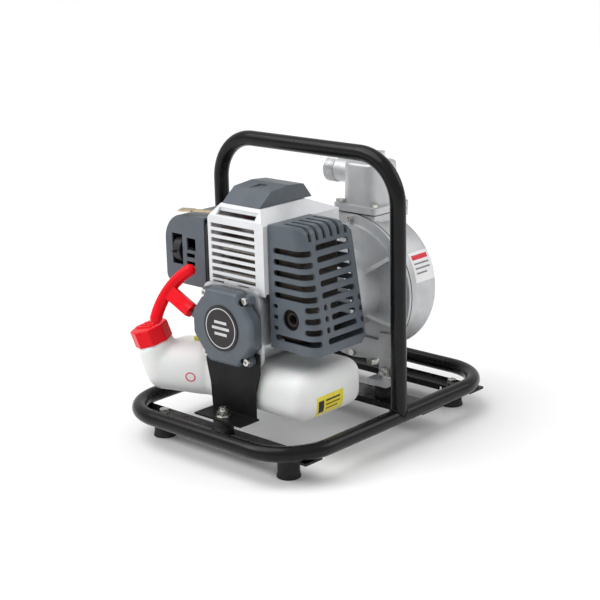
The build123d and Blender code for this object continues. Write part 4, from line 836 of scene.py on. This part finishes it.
@dataclass
class Fuel(SubAssembly):
    """Tank, cap and fuel line."""

    finishes: dict[str, Finish] = field(default_factory=lambda: {
        "fuel_cap": Finishes.signal_red,
        "fuel_cap_seal": Finishes.gasket,
        "fuel_line": Finishes.hose,
    })
    softened: dict[str, float] = field(default_factory=lambda: {"fuel_cap": 1.0 * MM})
    neck: Point = (-130.0 * MM, -142.7 * MM, 123.5 * MM)
    neck_axis: Point = (-0.226, -0.2107, 0.9511)
    blocks: tuple[tuple[Point, Point], ...] = (
        ((-121.0, -126.5, 50.0), (104.5, -14.5, 109.0)), ((-135.0, -133.5, 50.5), (-60.0, -76.0, 112.0)),
    )
    block_corner: float = 19.0
    lobe_radius: float = 24.0 * MM
    lobe_depth: float = 50.0 * MM
    lobe_shoulder: float = 34.0 * MM
    lobe_end: float = 10.8 * MM
    neck_radius: float = 19.0 * MM
    mouth_radius: float = 15.8 * MM
    mouth_depth: float = 30.0 * MM
    mouth_rise: float = 5.0 * MM
    flow_top: float = 36.0 * MM
    flow_radius: float = 23.5
    flow_balls: tuple[tuple[Point, float], ...] = (
        ((-70.0, -112.0, 94.0), 22.5), ((-70.0, -112.0, 72.0), 22.0), ((-100.0, -100.0, 78.0), 28.0),
    )
    voxel: float = 1.8 * MM
    smoothing: float = 0.5
    smoothing_steps: int = 26
    crease_angle: float = 50.0
    saddle_radius: float = 62.0 * MM
    saddle_span: tuple[float, float] = (-38.0, 5.0)
    ring_centre: Point = (-70.0 * MM, -132.0 * MM, 78.0 * MM)
    ring_radii: tuple[float, float] = (4.6 * MM, 6.0 * MM)
    label_centre: Point = (100.0 * MM, -78.0 * MM, 68.0 * MM)

    def rounded_block(self, bm: bmesh.types.BMesh, low: Point, high: Point) -> None:
        """Adds a block with rounded edges.

        Args:
            bm: The mesh that it is added to.
            low: Its lowest corner in millimetres.
            high: Its highest corner in millimetres.
        """
        centre = (Vector(low) + Vector(high)) / 2 * MM
        size = (Vector(high) - Vector(low)) * MM
        shape = Matrix.Translation(centre) @ Matrix.Diagonal((*size, 1.0))
        made = bmesh.ops.create_cube(bm, size=1.0, matrix=shape)
        edges = {edge for vert in made["verts"] for edge in vert.link_edges}
        bmesh.ops.bevel(bm, geom=list(edges), offset=self.block_corner * MM, segments=8, profile=0.5,
                        affect="EDGES", material=-1)

    def round_bar(self, start: Vector, end: Vector, radius: float) -> bmesh.types.BMesh:
        """Makes a cylinder between two points.

        Args:
            start: Centre of one end.
            end: Centre of the other end.
            radius: Its radius.

        Returns:
            The cylinder.
        """
        bm = bmesh.new()
        turn = (end - start).to_track_quat("Z", "Y").to_matrix().to_4x4()
        shape = Matrix.Translation((start + end) / 2) @ turn
        bmesh.ops.create_cone(bm, cap_ends=True, segments=96, radius1=radius, radius2=radius,
                              depth=(end - start).length, matrix=shape)
        return bm

    def cut(self, piece: bpy.types.Object, tool: bmesh.types.BMesh) -> None:
        """Cuts a tool out of a piece for good.

        Args:
            piece: The piece.
            tool: The mesh that is cut out; it is freed here.
        """
        mesh = bpy.data.meshes.new("cutter")
        tool.to_mesh(mesh)
        tool.free()
        cutter = bpy.data.objects.new("cutter", mesh)
        bpy.context.scene.collection.objects.link(cutter)
        boolean = piece.modifiers.new("cut", "BOOLEAN")
        boolean.operation = "DIFFERENCE"
        boolean.object = cutter
        self.settle(piece)
        bpy.data.objects.remove(cutter, do_unlink=True)

    def settle(self, piece: bpy.types.Object) -> None:
        """Makes a piece's modifiers part of its mesh.

        Args:
            piece: The piece.
        """
        shown = piece.evaluated_get(bpy.context.evaluated_depsgraph_get())
        mesh = bpy.data.meshes.new_from_object(shown)
        piece.modifiers.clear()
        piece.data = mesh

    def flow(self, balls: list[tuple[Vector, float]]) -> bmesh.types.BMesh:
        """Makes the smooth hull around some balls.

        Args:
            balls: Each ball's centre in metres and its radius in millimetres.

        Returns:
            The hull.
        """
        bm = bmesh.new()
        for place, radius in balls:
            shape = Matrix.Translation(place)
            bmesh.ops.create_icosphere(bm, subdivisions=3, radius=radius * MM, matrix=shape)
        hull = bmesh.ops.convex_hull(bm, input=list(bm.verts))
        inside = [item for item in hull["geom_interior"] if isinstance(item, bmesh.types.BMVert)]
        bmesh.ops.delete(bm, geom=inside, context="VERTS")
        return bm

    def tank(self) -> bpy.types.Object:
        """Makes the blow-moulded tank, whose block, shoulder and filler lobe run into each other.

        Returns:
            The tank.
        """
        mouth = Vector(self.neck)
        axis = Vector(self.neck_axis).normalized()
        lobe_low = mouth - axis * self.lobe_depth
        bm = bmesh.new()
        for low, high in self.blocks:
            self.rounded_block(bm, low, high)
        for place in (lobe_low, mouth - axis * self.lobe_shoulder):
            shape = Matrix.Translation(place)
            bmesh.ops.create_icosphere(bm, subdivisions=4, radius=self.lobe_radius, matrix=shape)
        balls = [(mouth - axis * self.flow_top, self.flow_radius), (lobe_low, self.flow_radius)]
        balls += [(Vector(place) * MM, radius) for place, radius in self.flow_balls]
        lobe = self.round_bar(lobe_low, mouth - axis * self.lobe_end, self.lobe_radius - 0.2 * MM)
        for part in (self.flow(balls), lobe, self.round_bar(lobe_low, mouth, self.neck_radius)):
            mesh = bpy.data.meshes.new("part")
            part.to_mesh(mesh)
            part.free()
            bm.from_mesh(mesh)
            bpy.data.meshes.remove(mesh)
        piece = new_piece("fuel_tank_finished", bm, Finishes.tank_white, "machine")
        skin = piece.modifiers.new("skin", "REMESH")
        skin.mode = "VOXEL"
        skin.voxel_size = self.voxel
        skin.use_smooth_shade = True
        flowed = piece.modifiers.new("flow", "SMOOTH")
        flowed.factor = self.smoothing
        flowed.iterations = self.smoothing_steps
        self.settle(piece)
        saddle = (Vector((0.0, y * MM, SHAFT_Z)) for y in self.saddle_span)
        self.cut(piece, self.round_bar(*saddle, self.saddle_radius))
        low, high = mouth - axis * self.mouth_depth, mouth + axis * self.mouth_rise
        self.cut(piece, self.round_bar(low, high, self.mouth_radius))
        piece.data.shade_smooth()
        piece.data.set_sharp_from_angle(angle=math.radians(self.crease_angle))
        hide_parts("fuel_tank")
        log.info("built the tank, %d faces", len(piece.data.polygons))
        return piece

    def details(self) -> None:
        """Adds the smooth tank and its plain stickers."""
        tank = self.tank()
        ring = Sticker("tank_ring_sticker", self.ring_centre, (0.0, 1.0, 0.0), (1.0, 0.0, 0.0), "signal_red")
        ring.lay(tank, flat_ring(*self.ring_radii), Finishes.print_red, 0.2 * MM)
        dark = (Finishes.print_black, "badge_dark", 0.3)
        Label(self.label_centre, inwards=(-1.0, 0.15, 0.15), across=(0.15, 1.0, 0.0), marks=(
            Mark("tank_label_ground", (46.0, 26.0), (0.0, 0.0), Finishes.label_yellow, "hose", 0.15),
            Mark("tank_label_block", (9.0, 15.0), (-15.0, 0.0), *dark),
            Mark("tank_label_bar_high", (24.0, 2.2), (5.0, 6.0), *dark),
            Mark("tank_label_bar_middle", (24.0, 1.4), (5.0, 1.0), *dark),
            Mark("tank_label_bar_low", (20.0, 1.4), (3.0, -4.0), *dark),
        )).lay(tank)


@dataclass
class Pump(SubAssembly):
    """Bell housing, casing, impeller and water fittings."""

    finishes: dict[str, Finish] = field(default_factory=lambda: {
        "clutch_shoe_right": Finishes.steel,
        "clutch_shoe_left": Finishes.steel,
        "clutch_drum": Finishes.steel,
        "adapter_housing": Finishes.cast,
        "shaft_seal": Finishes.gasket,
        "flat_gaskets": Finishes.gasket,
        "pump_casing": Finishes.cast,
        "volute": Finishes.black_plastic,
        "impeller": Finishes.cast,
        "discharge_elbow": Finishes.cast,
        "suction_flange": Finishes.cast,
        "check_valve_flap": Finishes.rubber,
        "pump_bolts": Finishes.zinc,
        "filler_plug": Finishes.zinc,
        "filler_seal": Finishes.gasket,
        "drain_plug": Finishes.zinc,
        "drain_seal": Finishes.gasket,
    })
    softened: dict[str, float] = field(default_factory=lambda: {
        "adapter_housing": 1.2 * MM, "pump_casing": 1.2 * MM, "discharge_elbow": 1.0 * MM,
        "suction_flange": 0.8 * MM, "pump_bolts": 0.35 * MM, "filler_plug": 0.7 * MM, "drain_plug": 0.5 * MM,
    })
    discharge: tuple[float, float] = (124.0 * MM, 295.0 * MM)
    suction: tuple[float, float] = (0.0, 190.0 * MM)
    thread_pitch: float = 2.31 * MM
    thread_length: float = 18.0 * MM
    thread_radius: float = 16.6 * MM
    thread_root: float = 15.5 * MM
    thread_margin: float = 1.0 * MM
    sunk_reach: float = 0.6 * MM
    sunk_gap: float = 0.2 * MM
    elbow_thread_set: float = 0.4 * MM
    flange_thread_set: float = 0.2 * MM
    label_centre: Point = (82.0 * MM, 122.0 * MM, 188.0 * MM)

    def sink_thread(self, piece: bpy.types.Object, axis: str, centre: tuple[float, float],
                    span: tuple[float, float]) -> None:
        """Turns a nipple's plain thread down so that the ridged sleeve can stand on it.

        Args:
            piece: The softened fitting.
            axis: X or Y, the nipple's axis.
            centre: The axis's other horizontal coordinate and its height.
            span: Where the thread starts and ends along the axis.
        """
        along, side = (0, 1) if axis == "X" else (1, 0)
        for vert in piece.data.vertices:
            away = Vector((vert.co[side] - centre[0], vert.co.z - centre[1]))
            inside = span[0] - self.thread_margin < vert.co[along] < span[1] + self.thread_margin
            if inside and away.length > self.thread_root - self.sunk_reach:
                near = away * ((self.thread_root - self.sunk_gap) / away.length)
                vert.co[side] = centre[0] + near.x
                vert.co.z = centre[1] + near.y

    def details(self) -> None:
        """Adds the threads of both nipples and the plain label on the drum."""
        shown = bpy.context.scene.objects
        port_y, port_z = self.discharge
        elbow = shown["discharge_elbow_finished"]
        end = min(vert.co.x for vert in elbow.data.vertices)
        self.sink_thread(elbow, "X", self.discharge, (end, end + self.thread_length))
        self.thread("discharge_thread", "X", (end + self.elbow_thread_set, port_y, port_z))
        flange = shown["suction_flange_finished"]
        end = max(vert.co.y for vert in flange.data.vertices)
        self.sink_thread(flange, "Y", self.suction, (end - self.thread_length, end))
        port_x, port_z = self.suction
        start = end - self.thread_length + self.flange_thread_set
        self.thread("suction_thread", "Y", (port_x, start, port_z))
        grey = (Finishes.print_grey, "shroud_white", 0.35)
        Label(self.label_centre, inwards=(-0.94, 0.0, -0.34), across=(0.0, 1.0, 0.0), marks=(
            Mark("drum_label_ground", (40.0, 38.0), (0.0, 0.0), Finishes.label_white, "shroud_white", 0.2),
            Mark("drum_label_band", (32.0, 6.0), (0.0, 12.0), Finishes.print_red, "signal_red", 0.35),
            Mark("drum_label_bar_high", (30.0, 2.0), (0.0, 4.0), *grey),
            Mark("drum_label_bar_middle", (30.0, 2.0), (0.0, -2.0), *grey),
            Mark("drum_label_bar_low", (22.0, 2.0), (-4.0, -8.0), *grey),
        )).lay(shown["pump_casing_finished"])

    def thread(self, name: str, axis: str, start: Point) -> None:
        """Stands one ridged thread on a nipple.

        Args:
            name: The thread's name.
            axis: X or Y, the nipple's axis.
            start: Centre of the thread's lower end.
        """
        bm = ridged_sleeve(axis, start, self.thread_length, self.thread_root, self.thread_radius,
                           self.thread_pitch)
        new_piece(name, bm, Finishes.machined, "machine")


@dataclass
class Studio:
    """Pale floor, soft light and the camera."""

    eye: Point = (1.167238, -1.269777, 0.646600)
    yaw: float = 42.895
    pitch: float = 15.852
    roll: float = -1.378
    lens: float = 87.40
    floor_size: float = 400.0
    floor_white: float = 0.93
    sun_power: float = 1.7
    sun_spread: float = 55.0
    sun_way: Point = (0.35, 0.45, -1.0)
    softboxes: tuple[tuple[str, Point, tuple[float, float], float], ...] = (
        ("key_softbox", (-1.4, -1.6, 2.0), (1.2, 1.2), 9.0),
        ("rim_softbox", (1.6, 1.8, 1.8), (1.4, 1.4), 12.0),
    )
    aim: Point = (0.0, 0.0, 0.15)
    room_light: float = 0.66

    def build(self) -> None:
        """Lays the floor, hangs the lights and sets the camera."""
        self.floor()
        self.daylight()
        for softbox in self.softboxes:
            self.light(*softbox)
        self.sky()
        self.camera()

    def floor(self) -> None:
        """Makes the floor."""
        bm = bmesh.new()
        bmesh.ops.create_grid(bm, x_segments=2, y_segments=2, size=self.floor_size / 2)
        mesh = bpy.data.meshes.new("studio_floor")
        bm.to_mesh(mesh)
        bm.free()
        paper = Bench("studio_paper")
        paper.shader.inputs["Base Color"].default_value = (*[self.floor_white] * 3, 1.0)
        paper.gloss_between(paper.noise(3.0, 2.0), 0.55, 0.65)
        mesh.materials.append(paper.material)
        floor = bpy.data.objects.new("studio_floor", mesh)
        bpy.context.scene.collection.objects.link(floor)

    def daylight(self) -> None:
        """Adds a broad, even light from above, the same everywhere on the floor."""
        lamp = bpy.data.lights.new("ceiling", "SUN")
        lamp.energy = self.sun_power
        lamp.angle = math.radians(self.sun_spread)
        ceiling = bpy.data.objects.new("ceiling", lamp)
        bpy.context.scene.collection.objects.link(ceiling)
        ceiling.rotation_euler = Vector(self.sun_way).to_track_quat("-Z", "Y").to_euler()

    def light(self, name: str, place: Point, size: tuple[float, float], power: float) -> None:
        """Hangs one softbox facing the pump.

        Args:
            name: The light's name.
            place: Where it hangs, in metres.
            size: Its two sides in metres.
            power: Its power in watts.
        """
        lamp = bpy.data.lights.new(name, "AREA")
        lamp.shape = "RECTANGLE"
        lamp.size, lamp.size_y = size
        lamp.energy = power
        box = bpy.data.objects.new(name, lamp)
        bpy.context.scene.collection.objects.link(box)
        box.location = place
        aim = Vector(self.aim) - Vector(place)
        box.rotation_euler = aim.to_track_quat("-Z", "Y").to_euler()

    def sky(self) -> None:
        """Fills the room with even white light."""
        world = bpy.data.worlds.new("studio_room")
        world.use_nodes = True
        background = world.node_tree.nodes["Background"]
        background.inputs["Color"].default_value = (1.0, 1.0, 1.0, 1.0)
        background.inputs["Strength"].default_value = self.room_light
        bpy.context.scene.world = world

    def camera(self) -> None:
        """Stands the camera where it looks at the starter and muffler side."""
        data = bpy.data.cameras.new("view_camera")
        data.sensor_width = 36.0
        data.lens = self.lens
        data.clip_end = 100.0
        camera = bpy.data.objects.new("view_camera", data)
        bpy.context.scene.collection.objects.link(camera)
        yaw, pitch, roll = (math.radians(angle) for angle in (self.yaw, self.pitch, self.roll))
        back = Vector((math.sin(yaw) * math.cos(pitch), -math.cos(yaw) * math.cos(pitch), math.sin(pitch)))
        right = Vector((math.cos(yaw), math.sin(yaw), 0.0))
        up = back.cross(right)
        turned_right = right * math.cos(roll) + up * math.sin(roll)
        turned_up = up * math.cos(roll) - right * math.sin(roll)
        turn = Matrix((turned_right, turned_up, back)).transposed().to_4x4()
        camera.matrix_world = Matrix.Translation(Vector(self.eye)) @ turn
        bpy.context.scene.camera = camera
        bpy.context.scene.view_settings.view_transform = "Standard"


def main() -> None:
    """Builds the studio and the pump's looks."""
    logging.basicConfig(level=logging.INFO, format="%(name)s: %(message)s")
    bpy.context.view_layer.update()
    Studio().build()
    for group in (CarryFrame(), Engine(), Covers(), Starter(), Exhaust(), Intake(), Fuel(), Pump()):
        group.build()
        log.info("finished %s", type(group).__name__)


if __name__ == "__main__":
    main()
